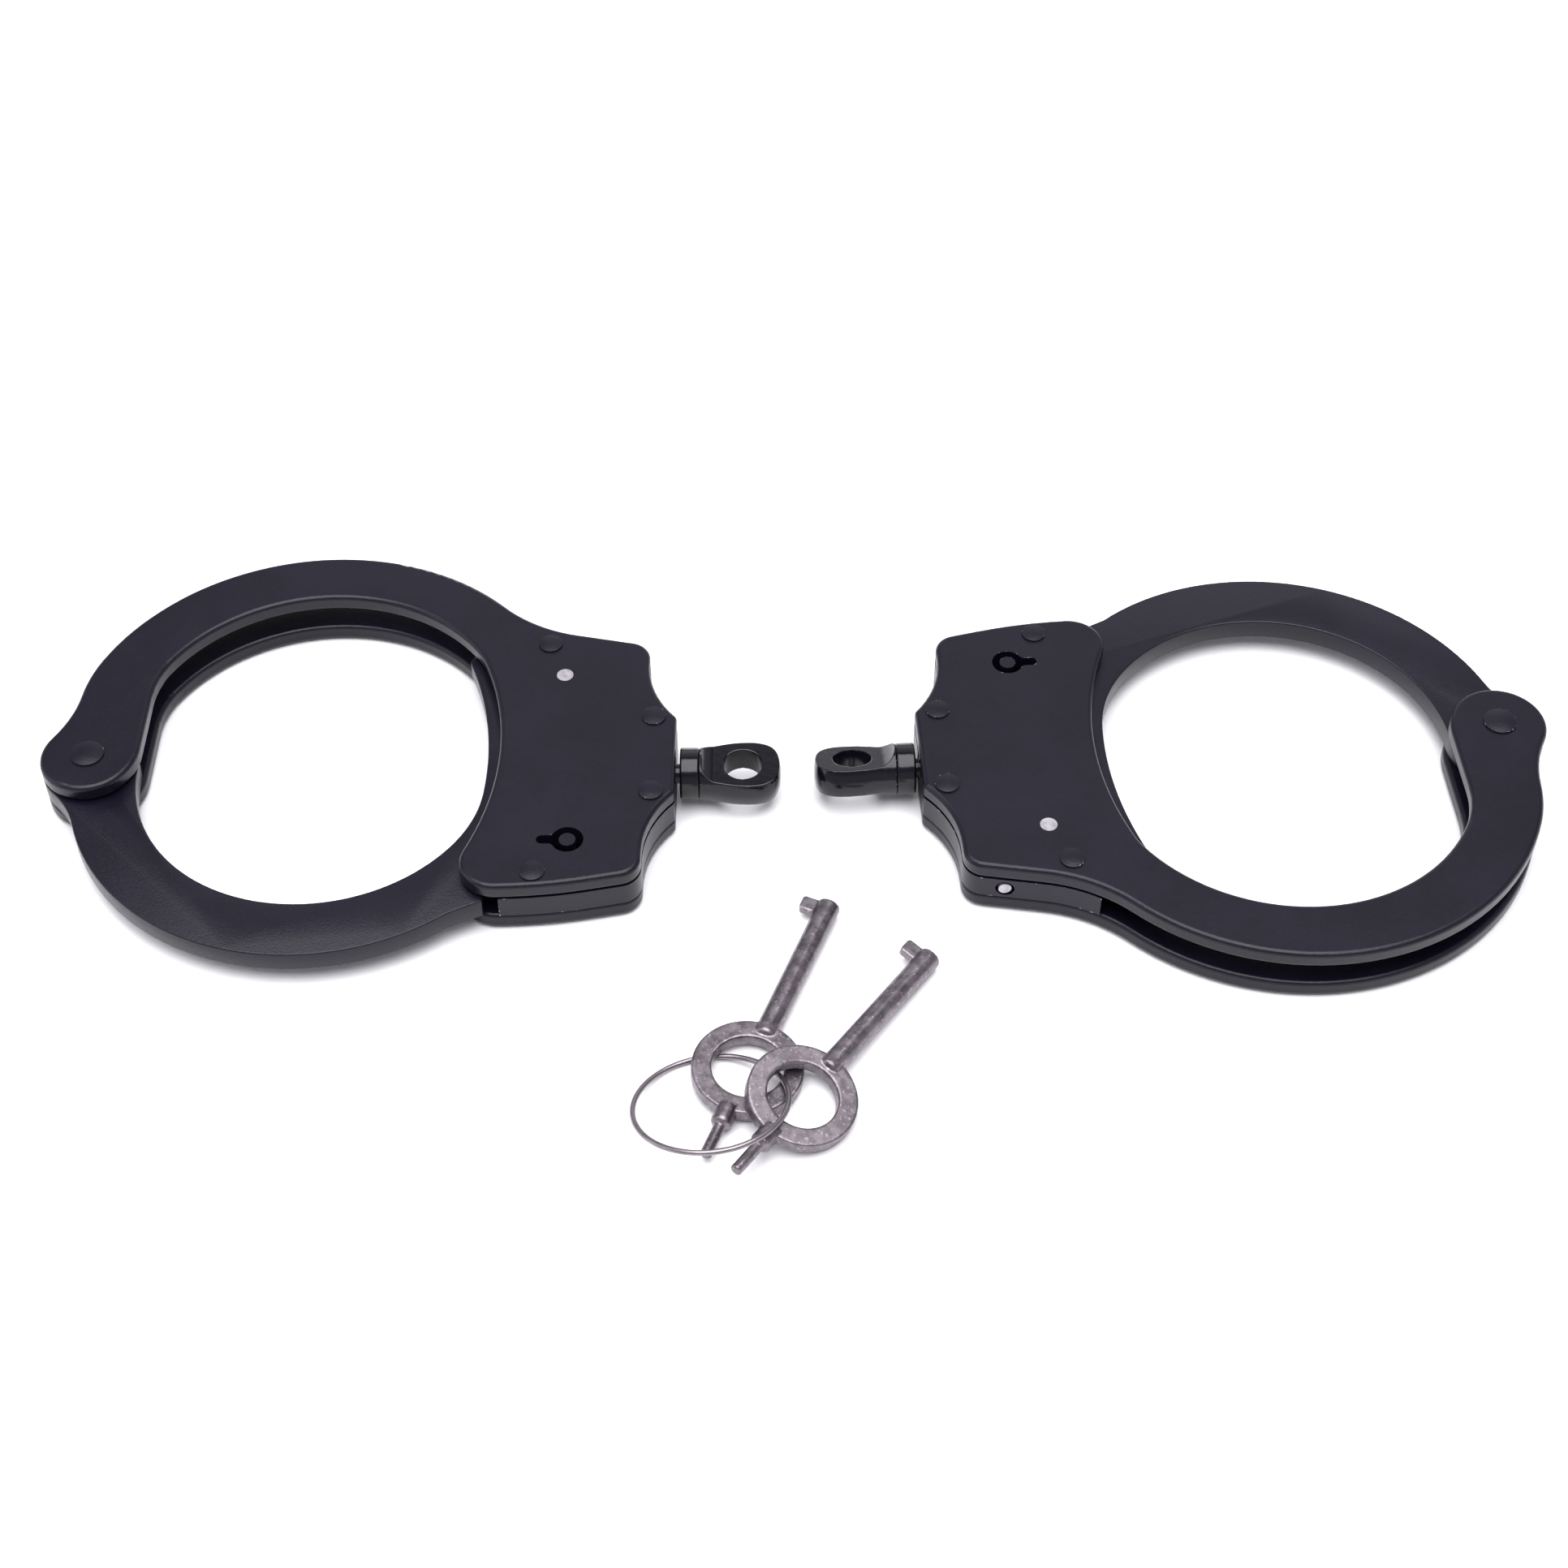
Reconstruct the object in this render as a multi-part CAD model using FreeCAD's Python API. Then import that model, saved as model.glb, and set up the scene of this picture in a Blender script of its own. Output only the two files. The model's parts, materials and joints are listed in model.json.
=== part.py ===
"""A pair of swing-through handcuffs with two keys on a wire ring, lying on a level surface.

Each cuff is drawn in its own frame: the strand's pivot axis is the origin, +X runs to the
swivel, +Y is the side of the double strand and z = 0 is the surface that the cuff lies on.
Everything is in millimetres.
"""
import FreeCAD, Part
import math
import os

from FreeCAD import Base

# ---- thicknesses and heights -------------------------------------------------------------
HEAD_HEIGHT = 0.30          # lower rivet heads, and so the gap under the bottom cheek
CHEEK_THICK = 2.60
GAP = 3.50                  # between the cheeks, and the thickness of the centre block
SIDE_CLEAR = 0.15           # beside a piece that slides between the cheeks
RUN_CLEAR = 0.05            # radial, a shaft in its hole
CHEEK_ROUND = 0.70          # rounded rims of the cheeks

# ---- cuff outline ------------------------------------------------------------------------
BODY_LENGTH = 18.35         # from the block's face beside the teeth to the flat end
END_CORNER_R = 0.8
WAIST_SETBACK = 4.2         # from the flat end to where the scooped shoulder starts
WAIST_Y = 18.0
SCOOP_R = 15.7
SHOULDER_R = 3.2
SLOPE_Y = 24.7              # height of the body's sloping edge at SLOPE_X
SLOPE_X = 66.0
SLOPE = 0.205               # fall of that edge per unit of X
NECK_FILLET_R = 22.0        # hollow between the sloping edge and the double strand
HEEL_R = 5.0                # rounded corner where the single strand enters
HEEL_Y = -19.8              # its centre
LOW_EDGE_R = 70.0           # slight bow of the body's lower edge
BODY_IN = (9.4, 0.8, 48.9)  # circle of the body's inner edge: x, y, radius
BODY_IN_BLEND_R = 10.0      # between that edge and the double strand

EYE_R = 6.7                 # round ends of the strands about the pivot rivet
DOUBLE_OUT = (31.65, 5.07, 35.8)    # outer circle of the double strand
DOUBLE_IN = (32.02, 5.70, 26.37)
SINGLE_OUT = (31.87, 0.20, 34.5)    # outer circle of the single strand
SINGLE_IN_R = 25.3          # its inner circle touches the round eye
WRIST_END_Y = 19.0          # where the double strand starts to narrow towards its eye
NARROW_R = 23.0
EYE_HOLLOW_R = 19.4         # hollow between the narrowed strand and the eye
SINGLE_HOLLOW_R = 15.0
THROAT_X = 7.2              # straight inner edge of the double strand beside the eye
THROAT_R = 15.0             # hollow above it
THROAT_FOOT_R = 9.0         # bulge below it, which runs into the eye

# ---- ratchet -----------------------------------------------------------------------------
TOOTH_PITCH_DEG = 2.5
TOOTH_TIP_R = 62.7          # from the pivot axis
TOOTH_DEPTH = 1.1
TOOTH_COUNT = 15
FIRST_TOOTH_DEG = -23.4
HEEL_RUN_X = 52.9           # where the single strand's outer edge goes straight to the teeth
STRAND_IN_R = 56.4          # inner edge of the toothed part, from the pivot axis
STRAND_IN_BLEND_R = 20.0
NOSE_DEG = 21.8             # where the toothed part's inner edge ends
NOSE = (53.7, 22.35)        # foremost point of the strand's rounded nose
NOSE_CORNER = (54.9, 21.85)  # where the nose meets the taper behind it
NOSE_CHEEK = (57.7, 19.3)   # on that taper
PAWL_TEETH = 3
PAWL_FIRST_TOOTH = 5        # strand tooth in which the pawl's lowest tooth sits
MESH_CLEAR = 0.10           # radial, between the teeth
MESH_BACKLASH_DEG = 0.06

# ---- lock --------------------------------------------------------------------------------
CHANNEL_R = 64.9            # block's face beside the teeth, on the centre line
CHANNEL_LOW_X = 59.7        # the same face at the strand's entry
CHANNEL_TOP_X = 60.85       # and at the double strand
CHANNEL_TOP_RISE = 2.6      # of that corner over SLOPE_Y
CUT_MARGIN = 10.0           # how far a cutting outline runs past what it cuts
PAWL_PIN = (66.8, 15.6)
PAWL_PIN_R = 1.2
PAWL_HUB_R = 2.6
PAWL_BACK_X = 68.2          # back of the pawl at PAWL_BACK_Y
PAWL_BACK_Y = -4.0
PAWL_BASE_R = 63.5          # pawl's face between its teeth and its hub, from the pivot axis
KEY_POST = (68.84, -16.24)
KEY_POST_R = 1.15
KEYHOLE_R = 2.25
KEYHOLE_REACH = 4.3         # from the post's axis to the slot's tip
KEYHOLE_SLOT = 1.5
BIT_REACH = 3.7             # from the key's axis to the end of its bit
TAIL_GAP = 1.85             # from the post's axis to the pawl's tail
TAIL_WIDTH = 2.2
TAIL_TOP = 4.6              # tail's outer shoulder, over the post's axis
TAIL_BEVEL = 0.4
HOOK_DROP = 2.0             # tail's hooked end, under the post's axis
HOOK_BEVEL = 1.1
HOOK_RISE = 1.6             # where the hook's slope meets the tail's inner face
BIT_ROOM = 0.55             # over the key bit's sweep
CHIN = (-0.8, 0.4)          # pawl's lower corner, from the post's X and the bit's room
ELBOW = (0.9, 6.0)          # pawl's back over the tail, from the post's axis
TOE_DEG = 0.4               # blank face under the lowest pawl tooth
PAWL_FACE_TOP_DEG = 8.0     # where the face leaves for the hub
PAWL_LIFT_DEG = 3.6
POCKET_CLEAR = 0.30         # round moving pieces inside the block
HUB_ROOM_LOW_Y = 10.0       # the hub's room and the arm's room overlap from here
ROOM_OVERLAP = 1.0
HUB_MOUTH = 1.0             # drop of the hub room's top towards the teeth
SPRING_ROOM = (-0.8, -1.2)  # room's corner beside the spring, from its foot
SPRING_ROOM_LOW = (-0.3, -3.0)      # its lower corner, from the foot's X and the pawl's back
TAIL_ROOM_TOP = 6.6         # over the post's axis
TAIL_ROOM_DROP = 2.6        # under it
ROOM_STEP = (-4.5, 0.2)     # floor of the room towards the teeth, from the post's axis
ROOM_CORNER_DEG = 135.0     # where that floor starts on the key bit's sweep
BAR_ROOM_LOW = 2.0          # lower end of the lock bar's room, over the post's axis
LOCK_BAR_WIDTH = 2.2
LOCK_BAR_GAP = 0.30         # between the lock bar and the pawl's tail
LOCK_TRAVEL = 2.2
LOCK_NOSE_Y = -10.4
LOCK_TOP_Y = 19.4
LOCK_HEAD_LENGTH = 1.8
LOCK_HEAD_EXTRA = 0.7       # how far the bar's head reaches in over its shank
LOCK_INNER_BEVEL = 0.4
LOCK_OUTER_BEVEL = 0.6
PUSH_PIN_X = 73.5
PUSH_PIN_R = 0.9
PUSH_PIN_RECESS_R = 1.3
PUSH_PIN_RECESS_DEPTH = 1.2
PUSH_PIN_HOLE_BACK = 1.0    # how far its hole starts behind the lock bar's top
SPRING_THICK = 0.4
SPRING_FOOT = (3.106, 10.6)  # how far behind the pawl's back, and y
SPRING_BEND = (1.023, 4.6)
SPRING_FOOT_INNER = 1.2     # straight part of the foot on its inner and outer side
SPRING_FOOT_OUTER = 1.4
SPRING_TIP_Y = -2.6
SPRING_TO_PAWL = 0.08

# ---- rivets ------------------------------------------------------------------------------
STRAND_SIDE_RIVET = (64.35, 22.0)
END_RIVET_SETBACK = 3.25    # from the flat end
END_RIVET_Y = 7.2
CHEEK_RIVET_R = 1.5
CHEEK_HEAD_LIP = 0.25       # how far a head reaches past its shank
CHEEK_HEAD_TOP = 0.42       # height of the cheek rivets' upper heads
HEAD_RIM = 0.24             # straight edge of every head, under its dome
PIVOT_RIVET_R = 1.9
PIVOT_HEAD_LIP = 0.48
PIVOT_HEAD_HEIGHT = 0.50

# ---- swivel ------------------------------------------------------------------------------
SHANK_R = 1.65
NECK_R = 1.4
HEAD_R = 2.9                # disc that holds the swivel inside the block
HEAD_SETBACK = 4.65         # from the flat end to the disc's inner face
HEAD_THICK = 2.0
HEAD_CLEAR = 0.20
COLLAR_STANDOFF = 0.60      # from the flat end
COLLAR_R = 3.75
COLLAR_LENGTH = 2.75
SHANK_SETBACK = 0.2         # where the shank narrows to the neck, inside the flat end
EYE_LENGTH = 11.6           # from the collar to the tip
EYE_CLEAR = 0.06            # under the forged eye, where it is widest
EYE_FULL_REACH = 6.4        # from the collar to the widest place
EYE_FLANK_LENGTH = 2.0      # gentle start of the eye's side behind the collar
EYE_FLANK_BEFORE = 2.3      # how far before the widest place the side is nearly full
EYE_FLANK_RISE = 0.22
EYE_NOSE = ((2.6, 0.22), (1.0, 1.05), (0.2, 2.6))  # end: back from the tip, in from full
EYE_HOLE_REACH = 6.15       # from the collar to the hole's axis
EYE_HOLE_R = 2.75
EYE_THICK = 4.1
FLAT_REACH = 2.1            # from the collar to where the flats are level
FLAT_RUNOUT_R = 2.2
FLAT_RUNOUT_BEND = (0.62, 0.36)     # middle of the run-out, in shares of its radius
EYE_TURN_DEG = {"left": 2.0, "right": 21.5}

# ---- keys and ring -----------------------------------------------------------------------
BOW_OUT_R = 7.4
BOW_HOLE_R = 4.75
BOW_THICK = 2.0
BOW_ROUND = 0.25
BARREL_WALL = 0.40          # at the open end
BARREL_TAPER = 0.05         # how much thinner the barrel is at the bow, in radius
BARREL_LENGTH = 22.6        # from the bow's rim to the open end
BARREL_BORE_CLEAR = 0.07    # over the post
BARREL_BORE_DEPTH = 8.0
BARREL_FOOT_EXTRA = 0.18    # how much wider the barrel's foot is
BARREL_FOOT_LENGTH = 1.9
BOW_SINK = 0.9              # how far the boss runs into the bow's rim
BARREL_SINK = 1.9           # how far the barrel's foot runs over the bow's rim
BARREL_FOOT_ROUND = 0.7     # rounded end of that foot
BIT_LENGTH = 2.2
BIT_THICK = 1.3
BIT_ROUND = 0.45
BOSS_R = 1.45
BOSS_LENGTH = 2.1
BOSS_ROUND = 0.65
KEY_PIN_R = 0.80
KEY_PIN_LENGTH = 4.9
KEY_PIN_SINK = 0.5          # how far the pin runs into the boss
KEY_PIN_ROUND = 0.18
RING_R = 10.1               # centre line of the wire
RING_WIRE_R = 0.38

# ---- how the pieces lie ------------------------------------------------------------------
# swivel tip x, y; heading of the cuff's +X
CUFFS = {"left": (-0.42, 5.96, -0.164), "right": (4.29, 6.07, 183.163)}
# bow centre x, y and rise; heading of the barrel; roll (left side up); pitch (tip down);
# a rise is the height over that of a barrel tip that lies on the surface
KEYS = {
    "rear": (-4.92, -44.15, 0.19, 68.4, 3.2, 0.2),
    "front": (2.10, -49.60, 1.53, 54.2, 15.5, 2.9),
}
RING = (-9.585, -50.69, 1.97)        # centre x, y and rise
RING_NORMAL = (-0.088, 0.295, 0.951)

BOTTOM_FROM = HEAD_HEIGHT
BLOCK_FROM = BOTTOM_FROM + CHEEK_THICK
TOP_FROM = BLOCK_FROM + GAP
TOP_FACE = TOP_FROM + CHEEK_THICK
MIDDLE = BLOCK_FROM + GAP / 2
SLIDER_THICK = GAP - 2 * SIDE_CLEAR
TOOTH_ROOT_R = TOOTH_TIP_R - TOOTH_DEPTH

BODY_END_X = CHANNEL_R + BODY_LENGTH
WAIST_X = BODY_END_X - WAIST_SETBACK
CHEEK_RIVETS = (
    STRAND_SIDE_RIVET, (STRAND_SIDE_RIVET[0], -STRAND_SIDE_RIVET[1]),
    (BODY_END_X - END_RIVET_SETBACK, END_RIVET_Y), (BODY_END_X - END_RIVET_SETBACK, -END_RIVET_Y),
)
CHEEK_HEAD_R = CHEEK_RIVET_R + CHEEK_HEAD_LIP
PIVOT_HEAD_R = PIVOT_RIVET_R + PIVOT_HEAD_LIP
BARREL_TIP_R = KEY_POST_R + BARREL_BORE_CLEAR + BARREL_WALL
BARREL_ROOT_R = BARREL_TIP_R - BARREL_TAPER
HEAD_FROM_X = BODY_END_X - HEAD_SETBACK
COLLAR_FROM_X = BODY_END_X + COLLAR_STANDOFF
EYE_FROM_X = COLLAR_FROM_X + COLLAR_LENGTH
EYE_FULL_R = MIDDLE - EYE_CLEAR
EYE_TIP_X = EYE_FROM_X + EYE_LENGTH
EYE_HOLE_X = EYE_FROM_X + EYE_HOLE_REACH

NEAR = 1e-4                 # two places closer than this are the same


# ---- drawing helpers ---------------------------------------------------------------------
def vec(point, z=0.0):
    """A plan point lifted to height z."""
    return Base.Vector(point[0], point[1], z)


def polar(radius, degrees, centre=(0.0, 0.0)):
    """The plan point at a radius and an angle about a centre."""
    turn = math.radians(degrees)
    return (centre[0] + radius * math.cos(turn), centre[1] + radius * math.sin(turn))


def on_circle(circle, y, side):
    """The point of a circle (x, y, radius) at a given y, on its left (-1) or right (+1)."""
    reach = math.sqrt(circle[2] ** 2 - (y - circle[1]) ** 2)
    return (circle[0] + side * reach, y)


def outline(start, *steps):
    """A closed face: each step is the end of a line, or (point passed, end) of an arc."""
    edges = []
    here = start
    for step in steps:
        if isinstance(step[0], tuple):
            edges.append(Part.Arc(vec(here), vec(step[0]), vec(step[1])).toShape())
            here = step[1]
        else:
            edges.append(Part.LineSegment(vec(here), vec(step)).toShape())
            here = step
    if math.dist(here, start) > NEAR:
        edges.append(Part.LineSegment(vec(here), vec(start)).toShape())
    return Part.Face(Part.Wire(edges))


def meet(circle, other, towards):
    """The point where two circles cross, of the two the one further along a direction."""
    apart = math.dist(circle[:2], other[:2])
    along = (circle[2] ** 2 - other[2] ** 2 + apart ** 2) / (2 * apart)
    aside = math.sqrt(circle[2] ** 2 - along ** 2)
    way = ((other[0] - circle[0]) / apart, (other[1] - circle[1]) / apart)
    found = [(circle[0] + way[0] * along - way[1] * side * aside,
              circle[1] + way[1] * along + way[0] * side * aside) for side in (1, -1)]
    return max(found, key=lambda spot: spot[0] * towards[0] + spot[1] * towards[1])


def blend(circle, other, radius, signs, towards):
    """A circle that touches two others, outside (+1) or inside (-1) each of them."""
    first = (circle[0], circle[1], abs(circle[2] + signs[0] * radius))
    second = (other[0], other[1], abs(other[2] + signs[1] * radius))
    return (*meet(first, second, towards), radius)


def touch(circle, other):
    """The point where two touching circles meet."""
    apart = math.dist(circle[:2], other[:2])
    way = ((other[0] - circle[0]) / apart, (other[1] - circle[1]) / apart)
    ends = [(circle[0] + way[0] * side * circle[2], circle[1] + way[1] * side * circle[2])
            for side in (1, -1)]
    return min(ends, key=lambda spot: abs(math.dist(spot, other[:2]) - other[2]))


def line_blend(anchor, direction, radius, circle, reach):
    """A circle beside a line, on its left, whose centre is at a reach from another's."""
    length = math.hypot(*direction)
    along = (direction[0] / length, direction[1] / length)
    base = (anchor[0] - along[1] * radius, anchor[1] + along[0] * radius)
    offset = (base[0] - circle[0], base[1] - circle[1])
    half = offset[0] * along[0] + offset[1] * along[1]
    root = math.sqrt(half ** 2 - (offset[0] ** 2 + offset[1] ** 2 - reach ** 2))
    step = -half + root
    return (base[0] + along[0] * step, base[1] + along[1] * step, radius)


def foot_on_line(anchor, direction, circle):
    """The point of a line nearest to a circle's centre."""
    length = math.hypot(*direction)
    along = (direction[0] / length, direction[1] / length)
    step = (circle[0] - anchor[0]) * along[0] + (circle[1] - anchor[1]) * along[1]
    return (anchor[0] + along[0] * step, anchor[1] + along[1] * step)


def arc(circle, start, end, anticlockwise):
    """An outline step along a circle: (point passed, end)."""
    first = math.degrees(math.atan2(start[1] - circle[1], start[0] - circle[0]))
    last = math.degrees(math.atan2(end[1] - circle[1], end[0] - circle[0]))
    turn = (last - first) % 360 if anticlockwise else -((first - last) % 360)
    return (polar(circle[2], first + turn / 2, circle), end)


def plate(face, bottom, thick):
    """A flat piece cut from a plan outline."""
    solid = face.extrude(Base.Vector(0, 0, thick))
    solid.translate(Base.Vector(0, 0, bottom))
    return solid


def disc(centre, radius, bottom, thick):
    """An upright cylinder."""
    return Part.makeCylinder(radius, thick, vec(centre, bottom))


def bar_x(from_x, to_x, radius):
    """A cylinder along the swivel's axis."""
    start = Base.Vector(from_x, 0, MIDDLE)
    return Part.makeCylinder(radius, to_x - from_x, start, Base.Vector(1, 0, 0))


def stood_up(face):
    """A plan outline turned so that its Y points up."""
    upright = face.copy()
    upright.rotate(Base.Vector(0, 0, 0), Base.Vector(1, 0, 0), 90)
    return upright


def turned(profile, axis=Base.Vector(0, 0, 1)):
    """A turned solid from a closed face that touches its axis through the origin."""
    return profile.revolve(Base.Vector(0, 0, 0), axis, 360)


def round_rims(solid, radius, heights):
    """Round the level edges that lie at the given heights."""
    rims = []
    for edge in solid.Edges:
        box = edge.BoundBox
        if box.ZLength < NEAR and any(abs(box.ZMin - height) < NEAR for height in heights):
            rims.append(edge)
    return solid.makeFillet(radius, rims)


# ---- cheeks ------------------------------------------------------------------------------
def slope_y(x):
    """The body's sloping edge."""
    return SLOPE_Y - SLOPE * (x - SLOPE_X)


def flipped(point):
    """The same point on the other side of the centre line."""
    return (point[0], -point[1])


def shoulder():
    """The upper shoulder: body end, scoop, rounded corner and the start of the slope."""
    scoop = (WAIST_X + SCOOP_R, WAIST_Y, SCOOP_R)
    tip_x = BODY_END_X - END_CORNER_R
    drop = math.sqrt((SCOOP_R + END_CORNER_R) ** 2 - (scoop[0] - tip_x) ** 2)
    tip = (tip_x, WAIST_Y - drop, END_CORNER_R)
    end = (BODY_END_X, tip[1])
    scoop_end = touch(scoop, tip)
    waist = (WAIST_X, WAIST_Y)
    corner_x = WAIST_X - SHOULDER_R
    corner = (corner_x, slope_y(corner_x) - SHOULDER_R * math.hypot(1, SLOPE), SHOULDER_R)
    corner_start = (WAIST_X, corner[1])
    corner_end = polar(SHOULDER_R, 90 - math.degrees(math.atan(SLOPE)), corner)
    return [end, arc(tip, end, scoop_end, True), arc(scoop, scoop_end, waist, False),
            corner_start, arc(corner, corner_start, corner_end, True)]


def mirrored_back(start, steps):
    """The same steps on the other side of the centre line, run backwards."""
    corners = [start] + [step[1] if isinstance(step[0], tuple) else step for step in steps]
    back = []
    for step, corner in zip(reversed(steps), reversed(corners[:-1])):
        is_arc = isinstance(step[0], tuple)
        back.append((flipped(step[0]), flipped(corner)) if is_arc else flipped(corner))
    return back


def cheek_face():
    """Plan outline of a cheek: the body and one half of the double strand in one plate."""
    end, *shoulder_steps = shoulder()
    corner_end = shoulder_steps[-1][1]
    hollow = line_blend((SLOPE_X, SLOPE_Y), (1.0, -SLOPE), NECK_FILLET_R,
                        DOUBLE_OUT, DOUBLE_OUT[2] + NECK_FILLET_R)
    on_slope = foot_on_line((SLOPE_X, SLOPE_Y), (1.0, -SLOPE), hollow)
    on_ring = touch(DOUBLE_OUT, hollow)
    narrow_start = on_circle(DOUBLE_OUT, WRIST_END_Y, -1)
    share = NARROW_R / DOUBLE_OUT[2]
    narrow = (narrow_start[0] + (DOUBLE_OUT[0] - narrow_start[0]) * share,
              narrow_start[1] + (DOUBLE_OUT[1] - narrow_start[1]) * share, NARROW_R)
    eye = (0.0, 0.0, EYE_R)
    behind = blend(narrow, eye, EYE_HOLLOW_R, (1, 1), (-1, 0))
    narrow_end = touch(narrow, behind)
    eye_start = touch(eye, behind)
    foot_y = math.sqrt((THROAT_FOOT_R - EYE_R) ** 2 - (THROAT_FOOT_R - THROAT_X) ** 2)
    foot = (THROAT_X - THROAT_FOOT_R, foot_y, THROAT_FOOT_R)
    eye_end = touch(eye, foot)
    rise = math.sqrt((DOUBLE_IN[2] - THROAT_R) ** 2 - (DOUBLE_IN[0] - THROAT_X - THROAT_R) ** 2)
    throat = (THROAT_X + THROAT_R, DOUBLE_IN[1] + rise, THROAT_R)
    throat_end = touch(throat, DOUBLE_IN)
    inner = blend(DOUBLE_IN, BODY_IN, BODY_IN_BLEND_R, (-1, -1), (1, 1))
    inner_start = touch(DOUBLE_IN, inner)
    inner_end = touch(BODY_IN, inner)
    reach = BODY_IN[2] + HEEL_R
    heel = (BODY_IN[0] + math.sqrt(reach ** 2 - (HEEL_Y - BODY_IN[1]) ** 2), HEEL_Y, HEEL_R)
    heel_start = touch(BODY_IN, heel)
    low = line_blend((SLOPE_X, -SLOPE_Y), (1.0, SLOPE), LOW_EDGE_R,
                     heel, LOW_EDGE_R - HEEL_R)
    low_start = touch(heel, low)
    low_end = foot_on_line((SLOPE_X, -SLOPE_Y), (1.0, SLOPE), low)
    return outline(
        end, *shoulder_steps, on_slope,
        arc(hollow, on_slope, on_ring, False), arc(DOUBLE_OUT, on_ring, narrow_start, True),
        arc(narrow, narrow_start, narrow_end, True), arc(behind, narrow_end, eye_start, False),
        arc(eye, eye_start, eye_end, True), arc(foot, eye_end, (THROAT_X, foot_y), True),
        (THROAT_X, throat[1]), arc(throat, (THROAT_X, throat[1]), throat_end, False),
        arc(DOUBLE_IN, throat_end, inner_start, False),
        arc(inner, inner_start, inner_end, False),
        arc(BODY_IN, inner_end, heel_start, False), arc(heel, heel_start, low_start, True),
        arc(low, low_start, low_end, True), flipped(corner_end),
        *mirrored_back(end, shoulder_steps))


def keyhole(bottom, thick):
    """Round hole over the post with a slot for the bit, blended with small hollows."""
    x, y = KEY_POST
    half = KEYHOLE_SLOT / 2
    hole = disc(KEY_POST, KEYHOLE_R, bottom, thick)
    straight = KEYHOLE_REACH - half
    slot = Part.makeBox(straight, 2 * half, thick, Base.Vector(x - straight, y - half, bottom))
    tip = disc((x - straight, y), half, bottom, thick)
    both = hole.fuse([slot, tip]).removeSplitter()
    meet_x = x - math.sqrt(KEYHOLE_R ** 2 - half ** 2)
    corners = []
    for edge in both.Edges:
        box = edge.BoundBox
        upright = box.ZLength > thick / 2
        at_meeting = abs(box.XMin - meet_x) < NEAR and box.XLength < NEAR
        if upright and at_meeting:
            corners.append(edge)
    return both.makeFillet(half, corners)


def swivel_space():
    """The room in the block and the cheeks for the swivel's shank and head."""
    head = bar_x(HEAD_FROM_X - HEAD_CLEAR, HEAD_FROM_X + HEAD_THICK + HEAD_CLEAR,
                 HEAD_R + HEAD_CLEAR)
    half = SHANK_R + RUN_CLEAR
    far_x = BODY_END_X + CUT_MARGIN
    slot = Part.makeBox(far_x - HEAD_FROM_X, 2 * half, GAP,
                        Base.Vector(HEAD_FROM_X, -half, BLOCK_FROM))
    return head.fuse([slot, bar_x(HEAD_FROM_X, far_x, half)])


def cheek(bottom, is_top):
    """One cheek with its rivet holes; the top one has the keyhole."""
    rims = (bottom, bottom + CHEEK_THICK)
    blank = round_rims(plate(cheek_face(), bottom, CHEEK_THICK), CHEEK_ROUND, rims)
    cuts = [disc(spot, CHEEK_RIVET_R, bottom, CHEEK_THICK) for spot in CHEEK_RIVETS]
    cuts.append(disc((0, 0), PIVOT_RIVET_R, bottom, CHEEK_THICK))
    cuts.append(disc(PAWL_PIN, PAWL_PIN_R, bottom, CHEEK_THICK))
    if is_top:
        cuts.append(keyhole(bottom, CHEEK_THICK))
    else:
        cuts.append(disc(KEY_POST, KEY_POST_R, bottom, CHEEK_THICK))
    cuts.append(swivel_space())
    return blank.cut(cuts)


# ---- ratchet and lock --------------------------------------------------------------------
def tooth_deg(index):
    """Angle of a strand tooth's tip."""
    return FIRST_TOOTH_DEG + index * TOOTH_PITCH_DEG


def single_strand():
    """The toothed arm that swings through the body."""
    eye = (0.0, 0.0, EYE_R)
    eye_side = (EYE_R, 0.0)
    inner_circle = (EYE_R + SINGLE_IN_R, 0.0, SINGLE_IN_R)
    hollow = blend(SINGLE_OUT, eye, SINGLE_HOLLOW_R, (1, 1), (0, -1))
    eye_end = touch(eye, hollow)
    join = touch(SINGLE_OUT, hollow)
    reach = math.sqrt(SINGLE_OUT[2] ** 2 - (HEEL_RUN_X - SINGLE_OUT[0]) ** 2)
    straight = (HEEL_RUN_X, SINGLE_OUT[1] - reach)
    steps = [arc(eye, eye_side, eye_end, True), arc(hollow, eye_end, join, False),
             arc(SINGLE_OUT, join, straight, True), polar(TOOTH_TIP_R, tooth_deg(0))]
    for index in range(1, TOOTH_COUNT + 1):
        steps.append(polar(TOOTH_ROOT_R, tooth_deg(index)))
        if index < TOOTH_COUNT:
            steps.append(polar(TOOTH_TIP_R, tooth_deg(index)))
    toothed = (0.0, 0.0, STRAND_IN_R)
    bend = blend(inner_circle, toothed, STRAND_IN_BLEND_R, (-1, -1), (1, -1))
    nose_in = polar(STRAND_IN_R, NOSE_DEG)
    bend_top = touch(toothed, bend)
    bend_low = touch(inner_circle, bend)
    steps += [(NOSE_CHEEK, NOSE_CORNER), (NOSE, nose_in), arc(toothed, nose_in, bend_top, False),
              arc(bend, bend_top, bend_low, False), arc(inner_circle, bend_low, eye_side, False)]
    bottom_z = BLOCK_FROM + SIDE_CLEAR
    blank = plate(outline(eye_side, *steps), bottom_z, SLIDER_THICK)
    return blank.cut(disc((0, 0), PIVOT_RIVET_R + RUN_CLEAR, bottom_z, SLIDER_THICK))


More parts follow.
